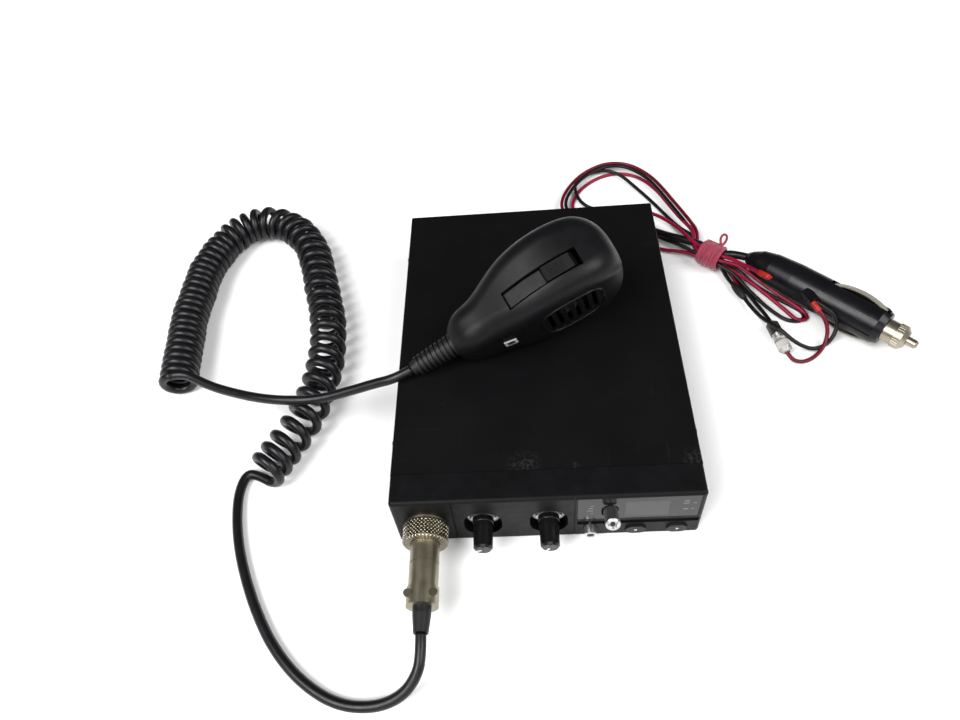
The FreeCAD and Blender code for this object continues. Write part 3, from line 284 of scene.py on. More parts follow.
LOOKS = {
    "case_paint": case_paint(),
    "frame_steel": metal("zinc_steel", (0.5, 0.5, 0.5), 0.3, 0.5, (1, 0.1, 1)),
    "bezel_plastic": moulded("bezel_plastic", BLACK, 0.42, 0.54, 0.4, 0.02, Specular_IOR_Level=0.12),
    "knob_plastic": moulded("knob_plastic", (0.003, 0.003, 0.0033), 0.24, 0.3, 1.2, 0.003,
                            Specular_IOR_Level=0.35),
    "smoked_window": smoked_window(),
    "display_glass": liquid_crystal(),
    "circuit_board": circuit_board(),
    "screw_steel": metal("plated_screws", (0.3, 0.27, 0.2), 0.28, 0.4),
    "brass_insert": metal("turned_brass", (0.6, 0.43, 0.2), 0.25, 0.4),
    "nickel": metal("satin_nickel", NICKEL, 0.34, 0.44, (1, 0.2, 1), 2.5, 0.002),
    "bright_chrome": metal("bright_chrome", (0.6, 0.6, 0.61), 0.3, 0.38, (1, 1, 1), 3, 0.001),
    "pale_washer": metal("pale_washer", (0.55, 0.56, 0.57), 0.4, 0.55, (1, 0.2, 1)),
    "pot_metal": metal("stamped_metal", (0.5, 0.5, 0.5), 0.3, 0.5),
    "key_plastic": moulded("key_plastic", (0.008, 0.008, 0.009), 0.4, 0.5, 0.6, 0.02, Specular_IOR_Level=0.2),
    "switch_plastic": moulded("switch_plastic", (0.012, 0.012, 0.012), 0.4, 0.6),
    "speaker_steel": metal("speaker_steel", (0.4, 0.4, 0.4), 0.35, 0.5),
    "paper": moulded("speaker_paper", (0.02, 0.02, 0.02), 0.8, 0.95, 0.8, 0.05),
    "soft_rubber": moulded("soft_rubber", (0.0045, 0.0045, 0.005), 0.45, 0.6, 0.6, 0.02,
                           Specular_IOR_Level=0.3),
    "mic_wire": cord_jacket("mic_cord_jacket", (0.004, 0.004, 0.005), 0.3, 0.42, Specular_IOR_Level=0.28),
    "lead_red": cord_jacket("red_insulation", (0.1, 0.002, 0.011), 0.3, 0.45, Specular_IOR_Level=0.22),
    "lead_black": cord_jacket("black_insulation", (0.0035, 0.0035, 0.004), 0.32, 0.48,
                              Specular_IOR_Level=0.22),
    "tie_cord": twisted_thread(),
    "mic_shell": moulded("mic_shell", (0.003, 0.0031, 0.0036), 0.36, 0.46, 0.55, 0.04,
                         Specular_IOR_Level=0.17),
    "talk_bar": moulded("talk_bar", (0.003, 0.003, 0.0034), 0.38, 0.5, 0.4, 0.04, Specular_IOR_Level=0.2),
    "capsule_metal": metal("capsule_metal", (0.4, 0.4, 0.4), 0.3, 0.5),
    "holder_plastic": moulded("holder_plastic", (0.02, 0.017, 0.014), 0.25, 0.35),
    "holder_clear": moulded("holder_clear", (0.75, 0.74, 0.7), 0.12, 0.25, 2, 0.02,
                            Transmission_Weight=0.85, IOR=1.49),
    "plug_plastic": moulded("plug_plastic", (0.003, 0.003, 0.0042), 0.26, 0.36, 0.9, 0.008,
                            Specular_IOR_Level=0.24),
    "plug_nickel": metal("plug_nickel", (0.36, 0.32, 0.25), 0.3, 0.4, (1, 1, 1), 2, 0.002),
    "spring_steel": metal("spring_steel", (0.24, 0.22, 0.17), 0.34, 0.44, (1, 1, 0.2), 1, 0.002),
}
LOOKS["knurl"] = knurled("knurled_nickel", NICKEL)
LOOKS["crimson"] = cord_jacket("crimson_insulation", (0.2, 0.003, 0.024), 0.3, 0.44, Specular_IOR_Level=0.22)
LOOKS["orange_sleeve"] = cord_jacket("orange_sleeve", (0.3, 0.014, 0.01), 0.35, 0.5, Specular_IOR_Level=0.25)
LOOKS["white_paint"] = moulded("white_paint", (0.75, 0.75, 0.73), 0.4, 0.55, 0.4, 0.01)
LOOKS["grey_print"] = moulded("grey_print", (0.16, 0.16, 0.16), 0.45, 0.6, 0.4, 0.005)
LOOKS["pale_badge"] = moulded("pale_badge", (0.5, 0.5, 0.5), 0.3, 0.45, 0.5, 0.01)
# Near-black used as painted shade in the hollows of the lever, the push button and the screw recesses, and as
# the badge's dark inset.
LOOKS["hollow_shade_and_dark_inset"] = moulded("hollow_shade_and_dark_inset", (0.006, 0.006, 0.006), 0.6, 0.8)


def finish_node(node, slot):
    """Give a CAD node its procedural material."""
    for material_slot in NODES[node].material_slots:
        material_slot.material = LOOKS[slot].material


for subpart in frame["record"]["subparts"]:
    finish_node(subpart["node"], subpart["material_slot"])
finish_node("mic_plug_ring", "knurl")


# ---------------------------------------------------------------- pieces

def piece_from(name, bm, look, body, smooth=True):
    """Turn a finished bmesh into a named piece that rides on a body."""
    mesh = bpy.data.meshes.new(name)
    bmesh.ops.recalc_face_normals(bm, faces=bm.faces)
    bm.to_mesh(mesh)
    bm.free()
    return keep_mesh(name, mesh, look, body, smooth)


def keep_mesh(name, mesh, look, body, smooth=True):
    """Turn a mesh into a named piece with a look; it rides on a body, or on none yet."""
    for polygon in mesh.polygons:
        polygon.use_smooth = smooth
    mesh.materials.append(LOOKS[look].material)
    piece = bpy.data.objects.new(name, mesh)
    bpy.context.scene.collection.objects.link(piece)
    if body:
        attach(piece, body)
    return piece


def rounded_slab(bm, centre, turn, size, radius, segments=3):
    """Add a slab with rounded corners and edges: size is its three sides in millimetres."""
    place = Matrix.Translation(Vector(centre) * 0.001) @ turn.to_4x4()
    scale = Matrix.Diagonal((*[side * 0.001 for side in size], 1))
    made = bmesh.ops.create_cube(bm, size=1, matrix=place @ scale)
    edges = list({edge for vert in made["verts"] for edge in vert.link_edges})
    bmesh.ops.bevel(bm, geom=edges, offset=radius * 0.001, segments=segments, affect="EDGES", profile=0.6)


def dome(bm, centre, outward, radius, height):
    """Add a low round dot on a surface that faces outward."""
    turn = UP.rotation_difference(Vector(outward)).to_matrix().to_4x4()
    place = Matrix.Translation(Vector(centre) * 0.001) @ turn
    scale = Matrix.Diagonal((radius * 0.001, radius * 0.001, height * 0.001, 1))
    bmesh.ops.create_icosphere(bm, subdivisions=2, radius=1, matrix=place @ scale)


def frames_along(path):
    """Two directions across the path at each point, carried along without twist."""
    tangents = []
    for i in range(len(path)):
        ahead = path[min(i + 1, len(path) - 1)] - path[max(i - 1, 0)]
        tangents.append(ahead.normalized())
    across = tangents[0].orthogonal().normalized()
    frames = []
    for tangent in tangents:
        across = (across - tangent * across.dot(tangent)).normalized()
        frames.append((across, tangent.cross(across)))
    return frames


def tube_mesh(name, path, radius, sides=12):
    """A closed round tube along a list of points in metres; radius is in millimetres."""
    bm = bmesh.new()
    rings = []
    for place, (across, over) in zip(path, frames_along(path)):
        ring = []
        for i in range(sides):
            angle = 2 * math.pi * i / sides
            out = across * math.cos(angle) + over * math.sin(angle)
            ring.append(bm.verts.new(place + out * radius * 0.001))
        rings.append(ring)
    for before, after in zip(rings, rings[1:]):
        for i in range(sides):
            j = (i + 1) % sides
            bm.faces.new((before[i], before[j], after[j], after[i]))
    bm.faces.new(rings[0][::-1])
    bm.faces.new(rings[-1])
    mesh = bpy.data.meshes.new(name)
    bm.to_mesh(mesh)
    bm.free()
    return mesh


# ---------------------------------------------------------------- cords

def route_curve(name, points, steps=16):
    """A smooth NURBS line whose control points are the route's points."""
    data = bpy.data.curves.new(name, "CURVE")
    data.dimensions = "3D"
    data.resolution_u = steps
    spline = data.splines.new("NURBS")
    spline.points.add(len(points) - 1)
    for control, point in zip(spline.points, points):
        control.co = (*mm(*point), 1)
    spline.order_u = 3
    spline.use_endpoint_u = True
    curve = bpy.data.objects.new(name, data)
    bpy.context.scene.collection.objects.link(curve)
    return curve


def line_of(points, steps=16):
    """The points that a route's smooth line runs through, in metres."""
    guide = route_curve("guide", points, steps)
    line = bpy.data.meshes.new_from_object(guide)
    places = [vertex.co.copy() for vertex in line.vertices]
    data = guide.data
    bpy.data.objects.remove(guide)
    bpy.data.curves.remove(data)
    bpy.data.meshes.remove(line)
    return places


def wire(name, points, diameter, look):
    """A round wire as a bevelled curve that rides on the case."""
    curve = route_curve(name, points)
    curve.data.bevel_depth = diameter * 0.0005
    curve.data.bevel_resolution = 4
    curve.data.use_fill_caps = True
    curve.data.materials.append(LOOKS[look].material)
    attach(curve, "case")
    return curve


MIC_WIRE = 5.0          # diameters
LEAD_WIRE = 2.2
SHEATH = 4.6

MIC_LEAD = [(-62, -23.6, 42.9), (-71, -27, 40.4), (-80.5, -26.4, 37), (-95.5, -26.4, 31.2),
            (-113, -26.8, 25.8), (-131, -25.8, 24.9), (-147, -21.5, 22.6), (-161.5, -15.4, 19.6),
            (-175, -9.6, 18.2), (-185, -4.2, 18.2), (-193, -0.2, 18.8), (-199, -1, 18.8)]
COIL_LINE = [(-199, -1, 10.8), (-202.5, 27, 10.8), (-204.5, 57, 10.8), (-203, 86, 10.8), (-197, 110, 10.8),
             (-180, 129, 10.8), (-158, 127, 10.8), (-141.5, 109, 10.8), (-131, 84, 10.8), (-125, 60, 10.8),
             (-119.6, 38, 10.8), (-116.6, 16, 10.8), (-118, -6, 10.8), (-123.5, -27, 10.8),
             (-131, -44, 10.8), (-139.6, -60, 10.8)]
MIC_TAIL = [(-139.6, -60, 2.8), (-146.5, -55.8, 2.7), (-152.2, -55.4, 2.7), (-154.2, -65, 2.8),
            (-152.8, -78, 3), (-148.8, -94, 3), (-142.5, -110, 3), (-134, -127, 3), (-123, -144, 3),
            (-108.5, -158.5, 3), (-92, -168, 3), (-75.5, -169.8, 4.2), (-63.2, -166.4, 8),
            (-56.4, -159, 13), (-55, -151, 16.6), (-55.3, -144, 17.5)]
COIL_RADIUS = 8.0
COIL_TURNS = 51.5
POINTS_PER_TURN = 22
PITCHES = [(0, 5.3), (100, 5.3), (132, 6.8), (150, 8.5), (205, 8.6), (250, 9), (290, 10.2), (318, 10.4),
           (334, 10.6), (344, 7.4), (370, 7.2)]     # how far the turns are apart, by distance along the coil


def pitch_at(distance):
    """How far apart the turns are at a distance along the coil."""
    for (start, low), (end, high) in zip(PITCHES, PITCHES[1:]):
        if distance <= end:
            return low + (high - low) * (distance - start) / (end - start)
    return PITCHES[-1][1]


def coil_turns():
    """The curly cord's helix about its centre line: from the top of its first turn to the floor."""
    line = line_of(COIL_LINE, 90)
    turned = [0.0]
    travelled = 0.0
    for before, after in zip(line, line[1:]):
        travelled += (after - before).length * 1000
        turned.append(turned[-1] + (after - before).length * 1000 / pitch_at(travelled))
    scale = COIL_TURNS / turned[-1]
    path = []
    steps = int(COIL_TURNS * POINTS_PER_TURN)
    i = 0
    for step in range(steps + 1):
        wanted = turned[-1] * step / steps
        while i < len(line) - 2 and turned[i + 1] < wanted:
            i += 1
        share = (wanted - turned[i]) / (turned[i + 1] - turned[i])
        centre = line[i].lerp(line[i + 1], share)
        ahead = (line[i + 1] - line[i]).normalized()
        left = UP.cross(ahead)
        turns = wanted * scale
        # The turns lie a little unevenly, but nothing shifts at the two ends.
        loose = math.sin(math.pi * step / steps)
        radius = COIL_RADIUS + loose * 0.22 * math.sin(turns * 1.9 + 0.6)
        shift = left * loose * 0.5 * math.sin(turns * 0.83) + ahead * loose * 0.45 * math.sin(turns * 1.37)
        angle = 2 * math.pi * turns
        across = UP * math.cos(angle) + left * math.sin(angle)
        path.append(centre + shift * 0.001 + across * radius * 0.001)
    return path


def mic_cord():
    """The handset's lead to the coil, then the coil and its tail to the plug as one piece."""
    lead_path = line_of(MIC_LEAD)
    lead_mesh = tube_mesh("mic_lead", lead_path, MIC_WIRE / 2, 16)
    lead = keep_mesh("mic_lead", lead_mesh, "mic_wire", None)
    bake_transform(lead)
    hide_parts("mic_cord_lead")

    coil_path = coil_turns() + line_of(MIC_TAIL)[1:]
    coil_mesh = tube_mesh("mic_curly_cord", coil_path, MIC_WIRE / 2, 12)
    coil = keep_mesh("mic_curly_cord", coil_mesh, "mic_wire", "case")
    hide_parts("mic_cord_coil", "mic_cord_tail")


# The bundle's line through the tie: where it starts, which way it goes, and the way across it.
NECK_FROM = Vector((96.5, 85.5, 8.4))
NECK_WAY = Vector((0.77, -0.638, 0))
NECK_SIDE = Vector((0.638, 0.77, 0))


def tied(across, up, way=1):
    """The two route points of a strand at the two ends of the tie; way is -1 for one that runs left."""
    strand = NECK_FROM + NECK_SIDE * across + UP * up
    ends = [tuple(strand + NECK_WAY * 1.5), tuple(strand + NECK_WAY * 18.5)]
    return ends[::way]


SHEATH_EXIT = [(48, 95, 9.4), (48.6, 106.6, 8.6), (56.6, 113, 6.6), (68, 110.8, 4.6), (79, 103, 4.4),
               (87.2, 95.4, 7.2), *tied(2.6, 1.4), (118.4, 74.6, 10.8), (125.4, 69.6, 12.2)]
DARK_RED = [(46, 95.2, 7), (45.8, 104.5, 4.6), (41, 112.6, 3.4), (31, 117.4, 3.8), (22.6, 124.4, 4.6),
            (20.2, 134.8, 5.2), (24.6, 147.8, 5.4), (34.8, 162.4, 5.4), (47.6, 171.2, 5.4),
            (57.6, 173.2, 5.4), (68, 170.4, 5.4), (77.2, 161.8, 5.4), (84.2, 150.6, 5.4), (91, 132.8, 5.4),
            (98.4, 112, 6.2), (101.6, 98, 8), *tied(0.3, -1.4), (116, 63.8, 3.8), (118, 57.4, 2.2),
            (118, 52.4, 2)]
DARK_BLACK = [(48.4, 95.2, 6.4), (48, 104.6, 3), (43.4, 114.8, 1.8), (33, 119.8, 2.4), (25.2, 126.2, 4),
              (22.8, 135.2, 5), (27, 146.8, 5.2), (36.6, 160.4, 5.2), (48.4, 168.7, 5.2),
              (57.4, 170.6, 5.2), (66.6, 168, 5.2), (75.2, 159.8, 5.2), (81.8, 149.2, 5.2),
              (88.5, 131.7, 5.2), (95.8, 111.4, 5.4), (100.6, 97.6, 5.4), *tied(2.9, -2.2),
              (117.6, 65, 2.8), (121.6, 54.6, 1.8), (125.4, 43.4, 1.6), (128.2, 34.6, 2.8), (129.6, 27, 4)]
CRIMSON = [(50, 95.2, 7.2), (53.4, 102.4, 4.4), (63, 102.6, 2), (72, 96.4, 1.5), (80, 90.8, 1.6),
           (89, 87.6, 3.2), *tied(-2.6, -3.4), (117, 65.4, 6.2), (126.5, 53, 6), (135, 42.4, 4),
           (140.6, 35, 2.8), (145, 28.6, 1.7), (152, 30.4, 1.6), (148, 37.4, 2.8), (139.6, 44, 5),
           (128.8, 55.6, 7.2), (119.6, 67.8, 8.8), *tied(-3.6, 1.4, -1), (99.4, 98, 9), (95, 112.4, 4.6),
           (89.6, 131.2, 1.6), (84, 147.4, 1.2), (74.6, 161.4, 1.2), (63.8, 166.6, 1.2), (53.6, 166.4, 1.2),
           (41.2, 160, 1.2), (30.8, 148, 1.2), (27.4, 135.4, 1.2), (30.4, 125.8, 1.3), (41, 121, 1.8),
           (56, 125.4, 3.4), (68.6, 124, 6), (79, 116.4, 7.8), (89.8, 101.8, 9.8), *tied(-0.9, 2.8),
           (114.8, 69.8, 12.4), (121, 61, 14.6), (127.4, 52.2, 16.8)]
BLACK_SUPPLY = [tuple(NECK_FROM + NECK_SIDE * -4.6 + NECK_WAY * 10), (114.6, 66, 7), (121.2, 56.4, 3.4),
                (127.6, 46, 1.5), (133.6, 36.6, 1.3), (139.6, 29.6, 1.3), (147.6, 28.6, 1.3),
                (150.6, 34.6, 1.3), (142.6, 42.4, 1.3), (134.6, 50, 1.3), (126.4, 59, 1.8),
                (119.6, 69.4, 4.4), *tied(-2.2, -0.8, -1), (98.4, 98, 6.4), (93.6, 106.4, 3),
                (88, 118.4, 1.4), (80, 135, 1.2), (71.2, 150.4, 1.3), (61.6, 163.6, 3.2), (51.6, 169, 3.4),
                (41, 166, 3.4), (32.6, 160.4, 3.2), (30.4, 152.4, 3), (32.6, 141, 1.6), (40, 132.6, 1.4),
                (52, 130.6, 1.4), (63.6, 125.4, 1.4), (71, 112.6, 1.6), (79.6, 99.8, 3), (88.6, 92, 5.2),
                *tied(-0.2, -3.8), (112.8, 63.2, 2.9), (117.8, 52.6, 2.8), (121.6, 40.4, 2.8),
                (125, 28.6, 5.6), (130.2, 17.4, 10.5), (138, 9.2, 7), (147.6, 7.4, 2.4), (156, 10.4, 2.6),
                (160.8, 15.4, 7.2), (160.8, 19.8, 13.4), (155.6, 23, 17.8), (151.5, 28.2, 17.7)]
FUSED_RED = [(133.4, 5.5, 4), (134.4, 2.2, 3.4), (137.4, 0.4, 2.2), (142.2, 0.4, 1.6), (147.8, 3.2, 1.6),
             (152.8, 8, 2), (155.8, 12.6, 4.6), (156.2, 16.8, 9.4), (154, 20.4, 14), (151, 23.6, 17),
             (149.1, 27.8, 17.7)]


def power_lead():
    """The sheathed lead to the plug, the looped wires, and the wires to fuse holder and plug."""
    sheath = wire("lead_sheath", SHEATH_EXIT, SHEATH, "lead_black")
    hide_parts("power_lead_exit")

    dark = wire("dark_red_wire", DARK_RED, LEAD_WIRE, "lead_red")
    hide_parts("power_lead_hank")

    beside = wire("paired_black_wire", DARK_BLACK, LEAD_WIRE, "lead_black")
    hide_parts("fuse_feed_lead")

    crimson = wire("crimson_wire", CRIMSON, LEAD_WIRE, "crimson")
    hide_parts("spare_lead")
    wire_end(CRIMSON)

    black = wire("black_supply_wire", BLACK_SUPPLY, LEAD_WIRE, "lead_black")
    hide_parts("black_lead_loop")
    splice()

    fused = wire("fused_red_wire", FUSED_RED, LEAD_WIRE, "lead_red")
    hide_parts("fuse_plug_lead")
    tie_cord()


def wire_end(points):
    """The red sleeve on the spare wire's end, with its two prongs."""
    tip, before = mm(*points[-1]), mm(*points[-2])
    way = (tip - before).normalized()
    side = way.cross(UP).normalized()
    path = [tip + way * step * 0.001 for step in (-2, -1.6, 0, 2, 4, 5.2, 5.6)]
    mesh = swelling_tube("spare_sleeve", path, [1.2, 1.7, 1.8, 1.75, 1.8, 1.7, 1.3])
    sleeve = keep_mesh("spare_sleeve", mesh, "orange_sleeve", "case")
    prongs = []
    for name, sign in (("upper", 1), ("lower", -1)):
        start = tip + way * 0.005 + side * sign * 0.0008
        path = [start, start + way * 0.001, start + way * 0.0017]
        mesh = swelling_tube(f"spare_prong_{name}", path, [0.6, 0.6, 0.4])
        prongs.append(keep_mesh(f"spare_prong_{name}", mesh, "orange_sleeve", "case"))
    return [sleeve, *prongs]


def swelling_tube(name, path, radii, sides=16):
    """A tube whose radius in millimetres changes from point to point."""
    mesh = tube_mesh(name, path, 1, sides)
    for i, radius in enumerate(radii):
        for vertex in mesh.vertices[i * sides:(i + 1) * sides]:
            vertex.co = path[i] + (vertex.co - path[i]) * radius
    return mesh


def splice():
    """A moulded splice on the black supply wire, where the dark red wire ends."""
    line = line_of(BLACK_SUPPLY[-13:-8])     # the stretch just past the tie
    part = line[len(line) // 3: 2 * len(line) // 3]
    radii = [1.3 + 1.1 * math.sin(math.pi * i / (len(part) - 1)) ** 0.7 for i in range(len(part))]
    mesh = swelling_tube("wire_splice", part, radii)
    return keep_mesh("wire_splice", mesh, "soft_rubber", "case")


TIE_MIDDLE = NECK_FROM + NECK_WAY * 12 + NECK_SIDE * -0.4
TIE_ACROSS, TIE_UP = 6.2, 5.7     # half its width and half its height
TIE_TURNS = 20
TIE_CORD = 1.6


def tie_cord():
    """The cord wound round the bundle in three passes that cross, a knot on top and a small loop."""
    points = []
    per_turn = 12
    last = TIE_TURNS * per_turn
    for i in range(last + 1):
        angle = 2 * math.pi * i / per_turn + 0.9
        sweep = 2 * i / last - 1
        along = 4.2 * math.asin(0.985 * math.sin(math.pi * 1.5 * sweep))
        grow = 0.45 * (1 + math.sin(i * 0.37)) + 0.5 * i / last
        place = TIE_MIDDLE + NECK_WAY * (along + 0.35 * math.sin(i * 0.71))
        place = place + NECK_SIDE * (TIE_ACROSS + grow) * math.cos(angle)
        points.append(tuple(place + UP * (TIE_UP + grow) * math.sin(angle)))
    knot = TIE_MIDDLE + NECK_SIDE * 4.4 + UP * 5.6 + NECK_WAY * 3
    loop = [(0, 0, 0), (1.2, 1.2, 1.2), (1.6, 3, 3.4), (0.6, 4.6, 5), (-1.4, 4.4, 5.2), (-2.2, 2.6, 3.6),
            (-0.8, 0.8, 1), (1.6, -0.8, 0.6), (3, -2.4, -0.6)]
    points += [tuple(knot + NECK_WAY * a + NECK_SIDE * p + UP * z) for a, p, z in loop]
    path = line_of(points, 4)
    mesh = tube_mesh("wound_tie", path, TIE_CORD / 2, 8)
    piece = keep_mesh("wound_tie", mesh, "tie_cord", "case")
    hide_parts("lead_tie")


mic_cord()
power_lead()


# ---------------------------------------------------------------- details on the case

LEVEL = Matrix.Identity(3)


def dial_marks():
    """White pointer lines on the knobs' faces."""
    for knob, body, angle in (("volume_knob", "volume_control", 200),
                              ("squelch_knob", "squelch_control", 238)):
        low, _, middle = size_of(knob)
        turn = Matrix.Rotation(-math.radians(angle), 3, "Y")
        out = turn @ Vector((1, 0, 0))
        place = Vector((middle.x, low.y + 0.3, middle.z)) + out * 2.2
        bm = bmesh.new()
        rounded_slab(bm, place, turn, (2.9, 0.3, 0.8), 0.12)
        piece_from(f"{knob}_pointer", bm, "white_paint", body)


LEVER_TILT = math.radians(24)     # how far the lever points up at rest
LEVER_PIVOT_Y, LEVER_PIVOT_Z = -88.5, 23.8
LEVER_REACH = 16.2


def hollow_ends():
    """Painted shade: near-black domes set in the hollow ends of the lever and the push button, standing for
    the shade inside them.
    """
    ahead = Vector((0, -math.cos(LEVER_TILT), math.sin(LEVER_TILT)))
    lever_x = size_of("mode_lever")[2].x
    end = Vector((lever_x, LEVER_PIVOT_Y, LEVER_PIVOT_Z)) + ahead * LEVER_REACH
    low, _, middle = size_of("push_button")
    face = Vector((middle.x, low.y + 0.5, middle.z))
    ends = [("lever_hollow_shade", end - UP * 0.5, ahead, 1.35, "mode_lever"),
            ("push_button_hollow_shade", face, Vector((0, -1, 0)), 1.8, "push_button")]
    for name, place, outward, radius, body in ends:
        bm = bmesh.new()
        dome(bm, place, outward, radius, 0.5)
        piece_from(name, bm, "hollow_shade_and_dark_inset", body)


def boss_sleeve():
    """The red sleeve on the fused wire where it goes into the plug."""
    line = line_of(FUSED_RED)[-14:]
    radii = [1.2] + [1.6] * 12 + [1.7]
    keep_mesh("boss_sleeve", swelling_tube("boss_sleeve", line, radii), "orange_sleeve", "case")


def window_marks():
    """Plain dashes printed beside the display, with no lettering."""
    low = size_of("display_window")[0]
    bm = bmesh.new()
    for x, z, width in ((6.2, 5.6, 1.6), (5.4, 8, 2.6), (5.8, 10.4, 2), (6.4, 12.6, 1.2),
                        (47.6, 7, 2.2), (50.6, 7, 1.2), (47.4, 12.4, 2.8), (51, 12.4, 1.4),
                        (47.4, 14.4, 2.2)):
        rounded_slab(bm, (low.x + x, low.y, low.z + z), LEVEL, (width, 0.12, 0.55), 0.05)
    piece_from("window_marks", bm, "grey_print", "case")


def rail_dots():
    """A patch of raised dots on the rail under the window."""
    low = size_of("display_window")[0]
    front = size_of("front_bezel")[0].y
    bm = bmesh.new()
    for row in range(3):
        for column in range(11):
            dome(bm, (low.x + 29.4 + column, front + 0.8, 12.2 + row), (0, -1, 0), 0.34, 0.3)
    piece_from("rail_dots", bm, "bezel_plastic", "case")


def channel_arrows():
    """A small triangle on each channel button, up on one and down on the other."""
    for node, way in (("channel_up_button", 1), ("channel_down_button", -1)):
        low, _, middle = size_of(node)
        bm = bmesh.new()
        turn = Matrix.Rotation(math.radians(90), 4, "X") @ Matrix.Rotation(math.radians(90 * way), 4, "Z")
        place = Matrix.Translation(mm(middle.x, low.y, middle.z)) @ turn
        bmesh.ops.create_cone(bm, cap_ends=True, segments=3, radius1=0.0011, radius2=0.0009, depth=0.00016,
                              matrix=place)
        piece_from(f"{node}_arrow", bm, "pale_badge", node, False)


def cross_slot_shade(name, heads, body):
    """Painted shade: near-black crosses on screw heads, standing for the shade in their cross recesses; heads
    are (middle of the face, outward direction).
    """
    bm = bmesh.new()
    for place, outward in heads:
        turn = UP.rotation_difference(Vector(outward)).to_matrix()
        for size in ((3, 0.62, 0.16), (0.62, 3, 0.16)):
            rounded_slab(bm, place, turn, size, 0.06, 2)
    piece_from(name, bm, "hollow_shade_and_dark_inset", body)


def case_screw_slot_shade():
    """Painted shade crosses for the cross recesses of the cover screws and the antenna flange's screws."""
    high = size_of("top_cover")[1]
    heads = [((side * (high.x + 1.5), y, z), (side, 0, 0))
             for side in (-1, 1) for y in (-58, 66) for z in (9, 28)]
    middle = size_of("antenna_socket")[2]
    heads += [((middle.x + x, 97, middle.z + z), (0, 1, 0)) for x in (-9, 9) for z in (-9, 9)]
    cross_slot_shade("case_screw_slot_shade", heads, "case")


def antenna_thread():
    """The coarse thread round the antenna socket's barrel: nine turns."""
    middle = size_of("antenna_socket")[2]
    radius, pitch, start_y, per_turn = 7.8, 1.06, 96.4, 24
    path = []
    for step in range(9 * per_turn):
        angle = 2 * math.pi * step / per_turn
        out = Vector((math.cos(angle), 0, math.sin(angle))) * radius
        path.append((Vector((middle.x, start_y + step / per_turn * pitch, middle.z)) + out) * 0.001)
    keep_mesh("antenna_thread", tube_mesh("antenna_thread", path, 0.4, 8), "nickel", "case")


def holder_spring():
    """The spring that shows between the fuse holder's body and its clear cap."""
    start, end = Vector(DARK_BLACK[-1]), Vector(FUSED_RED[0])
    ahead = (end - start).normalized()
    side = ahead.cross(UP).normalized()
    over = side.cross(ahead)
    radius, pitch, first, per_turn = 3.05, 0.72, 9.4, 16
    path = []
    for step in range(5 * per_turn):
        angle = 2 * math.pi * step / per_turn
        out = side * math.cos(angle) + over * math.sin(angle)
        path.append((start + ahead * (first + pitch * step / per_turn) + out * radius) * 0.001)
    mesh = tube_mesh("holder_spring", path, 0.28, 8)
    keep_mesh("holder_spring", mesh, "bright_chrome", "case")


# ---------------------------------------------------------------- details on the handset

# The handset's own frame: its corner, how it lies, and the outline of its front as (along, out).
HANDSET_AT = Vector((-40.1, -14.9, 50.6))
HEADING, RISE, LEAN = (math.radians(angle) for angle in (21.6, 18.1, 18.8))
HANDSET_TURN = (Matrix.Rotation(HEADING, 3, "Z") @ Matrix.Rotation(-RISE, 3, "Y")
                @ Matrix.Rotation(math.pi / 2 + LEAN, 3, "X"))
FACE = [(0, 8), (15, 12.8), (30, 15.2), (48, 16.8), (66, 17.2), (78, 16.5), (85, 13.6)]


def on_handset(along, across, out):
    """A place given along the handset, towards its talk bar, and out of its front."""
    return HANDSET_AT + HANDSET_TURN @ Vector((along, across, out))


def face_depth(along):
    """How far the handset's front stands out at a place along it."""
    for (start, low), (end, high) in zip(FACE, FACE[1:]):
        if along <= end:
            return low + (high - low) * (along - start) / (end - start)
    return FACE[-1][1]


def grip_dots():
    """Rows of small dots on the raised end of the talk bar."""
    bm = bmesh.new()
    outward = HANDSET_TURN @ Vector((0, 1, 0))
    for column in range(9):
        for row in range(5):
            along = 53.8 + 1.15 * column
            dome(bm, on_handset(along, 26.6 - 0.057 * (along - 53), 0.9 + 1.2 * row), outward, 0.42, 0.34)
    piece_from("grip_dots", bm, "talk_bar", "ptt_bar")


def grille_rim():
    """The low rounded rim of the panel that the sound slots are in."""
    path = []
    for step in range(97):
        angle = 2 * math.pi * step / 96
        along, across = (math.copysign(abs(side) ** 0.6, side) for side in (math.cos(angle), math.sin(angle)))
        along, across = 57.3 + 16 * along, 15.4 * across
        path.append(on_handset(along, across, face_depth(along) + 0.05) * 0.001)
    keep_mesh("grille_rim", tube_mesh("grille_rim", path, 0.7, 10), "mic_shell", "handset")


def badge():
    """A blank pale square with a dark middle on the handset's front."""
    along = 24
    slope = (15.2 - 12.8) / 15     # of the front there
    lean = HANDSET_TURN @ Matrix.Rotation(-math.atan(slope), 3, "Y")
    bm = bmesh.new()
    rounded_slab(bm, on_handset(along, 0, face_depth(along)), lean, (6.4, 6.4, 0.7), 0.25)
    piece_from("handset_badge", bm, "pale_badge", "handset")
    bm = bmesh.new()
    rounded_slab(bm, on_handset(along, 0, face_depth(along) + 0.3), lean, (3.6, 3.6, 0.3), 0.1)
    piece_from("handset_badge_middle", bm, "hollow_shade_and_dark_inset", "handset")


def shell_screw_slot_shade():
    """Painted shade crosses for the cross recesses of the three screws in the handset's back."""
    heads = []
    outward = HANDSET_TURN @ Vector((0, 0, -1))
    for along, across, depth in ((17, 0, 11.9), (73, 13, 19.4), (73, -13, 19.4)):
        heads.append((on_handset(along, across, -depth + 0.2), outward))
    cross_slot_shade("shell_screw_slot_shade", heads, "handset")


dial_marks()
hollow_ends()
boss_sleeve()
window_marks()
rail_dots()
channel_arrows()
case_screw_slot_shade()
antenna_thread()
holder_spring()
grip_dots()
grille_rim()
badge()
shell_screw_slot_shade()


# ---------------------------------------------------------------- studio

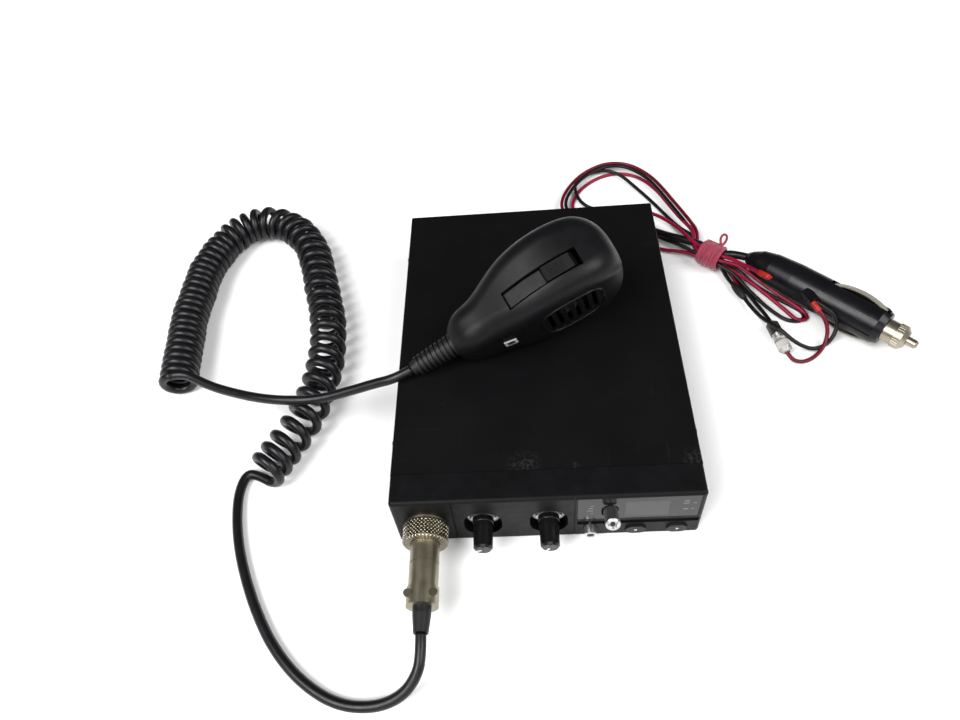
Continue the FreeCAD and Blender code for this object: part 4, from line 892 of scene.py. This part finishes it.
def camera():
    """The viewpoint: above the front, a little to the right, slightly rolled."""
    rise, around, roll = (math.radians(angle) for angle in (51.699, 6.379, -7.891))
    level = Vector((math.cos(around), math.sin(around), 0))
    back = Vector((math.sin(around) * math.cos(rise), -math.cos(around) * math.cos(rise), math.sin(rise)))
    over = back.cross(level)
    right = level * math.cos(roll) + over * math.sin(roll)
    up = over * math.cos(roll) - level * math.sin(roll)
    turn = Matrix((right, up, back)).transposed().to_4x4()
    data = bpy.data.cameras.new("camera")
    data.lens = 28.8
    data.sensor_width = 36
    data.clip_start = 0.01
    lens = bpy.data.objects.new("camera", data)
    lens.matrix_world = Matrix.Translation(mm(-2.6, -252, 338.7)) @ turn
    bpy.context.scene.collection.objects.link(lens)
    bpy.context.scene.camera = lens


def floor():
    """A wide matt white ground under the part."""
    bm = bmesh.new()
    bmesh.ops.create_grid(bm, x_segments=2, y_segments=2, size=4)
    mesh = bpy.data.meshes.new("floor")
    bm.to_mesh(mesh)
    bm.free()
    ground = bpy.data.objects.new("floor", mesh)
    look = Look("pale_floor", (0.82, 0.82, 0.82), 0.9, Specular_IOR_Level=0.1)
    look.ramp(look.noise(300), (0.3, (0.84, 0.84, 0.84)), (0.7, (0.87, 0.87, 0.87)))
    mesh.materials.append(look.material)
    bpy.context.scene.collection.objects.link(ground)


def softbox(name, place, size, power):
    """A rectangular lamp that faces the part; place and size are in metres."""
    data = bpy.data.lights.new(name, "AREA")
    data.shape = "RECTANGLE"
    data.size, data.size_y = size
    data.energy = power
    lamp = bpy.data.objects.new(name, data)
    lamp.location = place
    lamp.rotation_euler = (-Vector(place)).to_track_quat("-Z", "Y").to_euler()
    bpy.context.scene.collection.objects.link(lamp)


def studio():
    """Camera, ground, three lamps and a dim white world."""
    camera()
    floor()
    softbox("key", (-0.9, -0.8, 1.5), (1.1, 1.1), 50)
    softbox("fill", (1.2, -0.6, 1.4), (1.2, 1.2), 34)
    softbox("front", (0, -1.8, 1.0), (1.6, 0.8), 11)
    world = bpy.data.worlds.new("studio")
    world.use_nodes = True
    background = world.node_tree.nodes["Background"]
    background.inputs["Color"].default_value = (1, 1, 1, 1)
    background.inputs["Strength"].default_value = 0.1
    bpy.context.scene.world = world
    bpy.context.scene.view_settings.view_transform = "Standard"


studio()
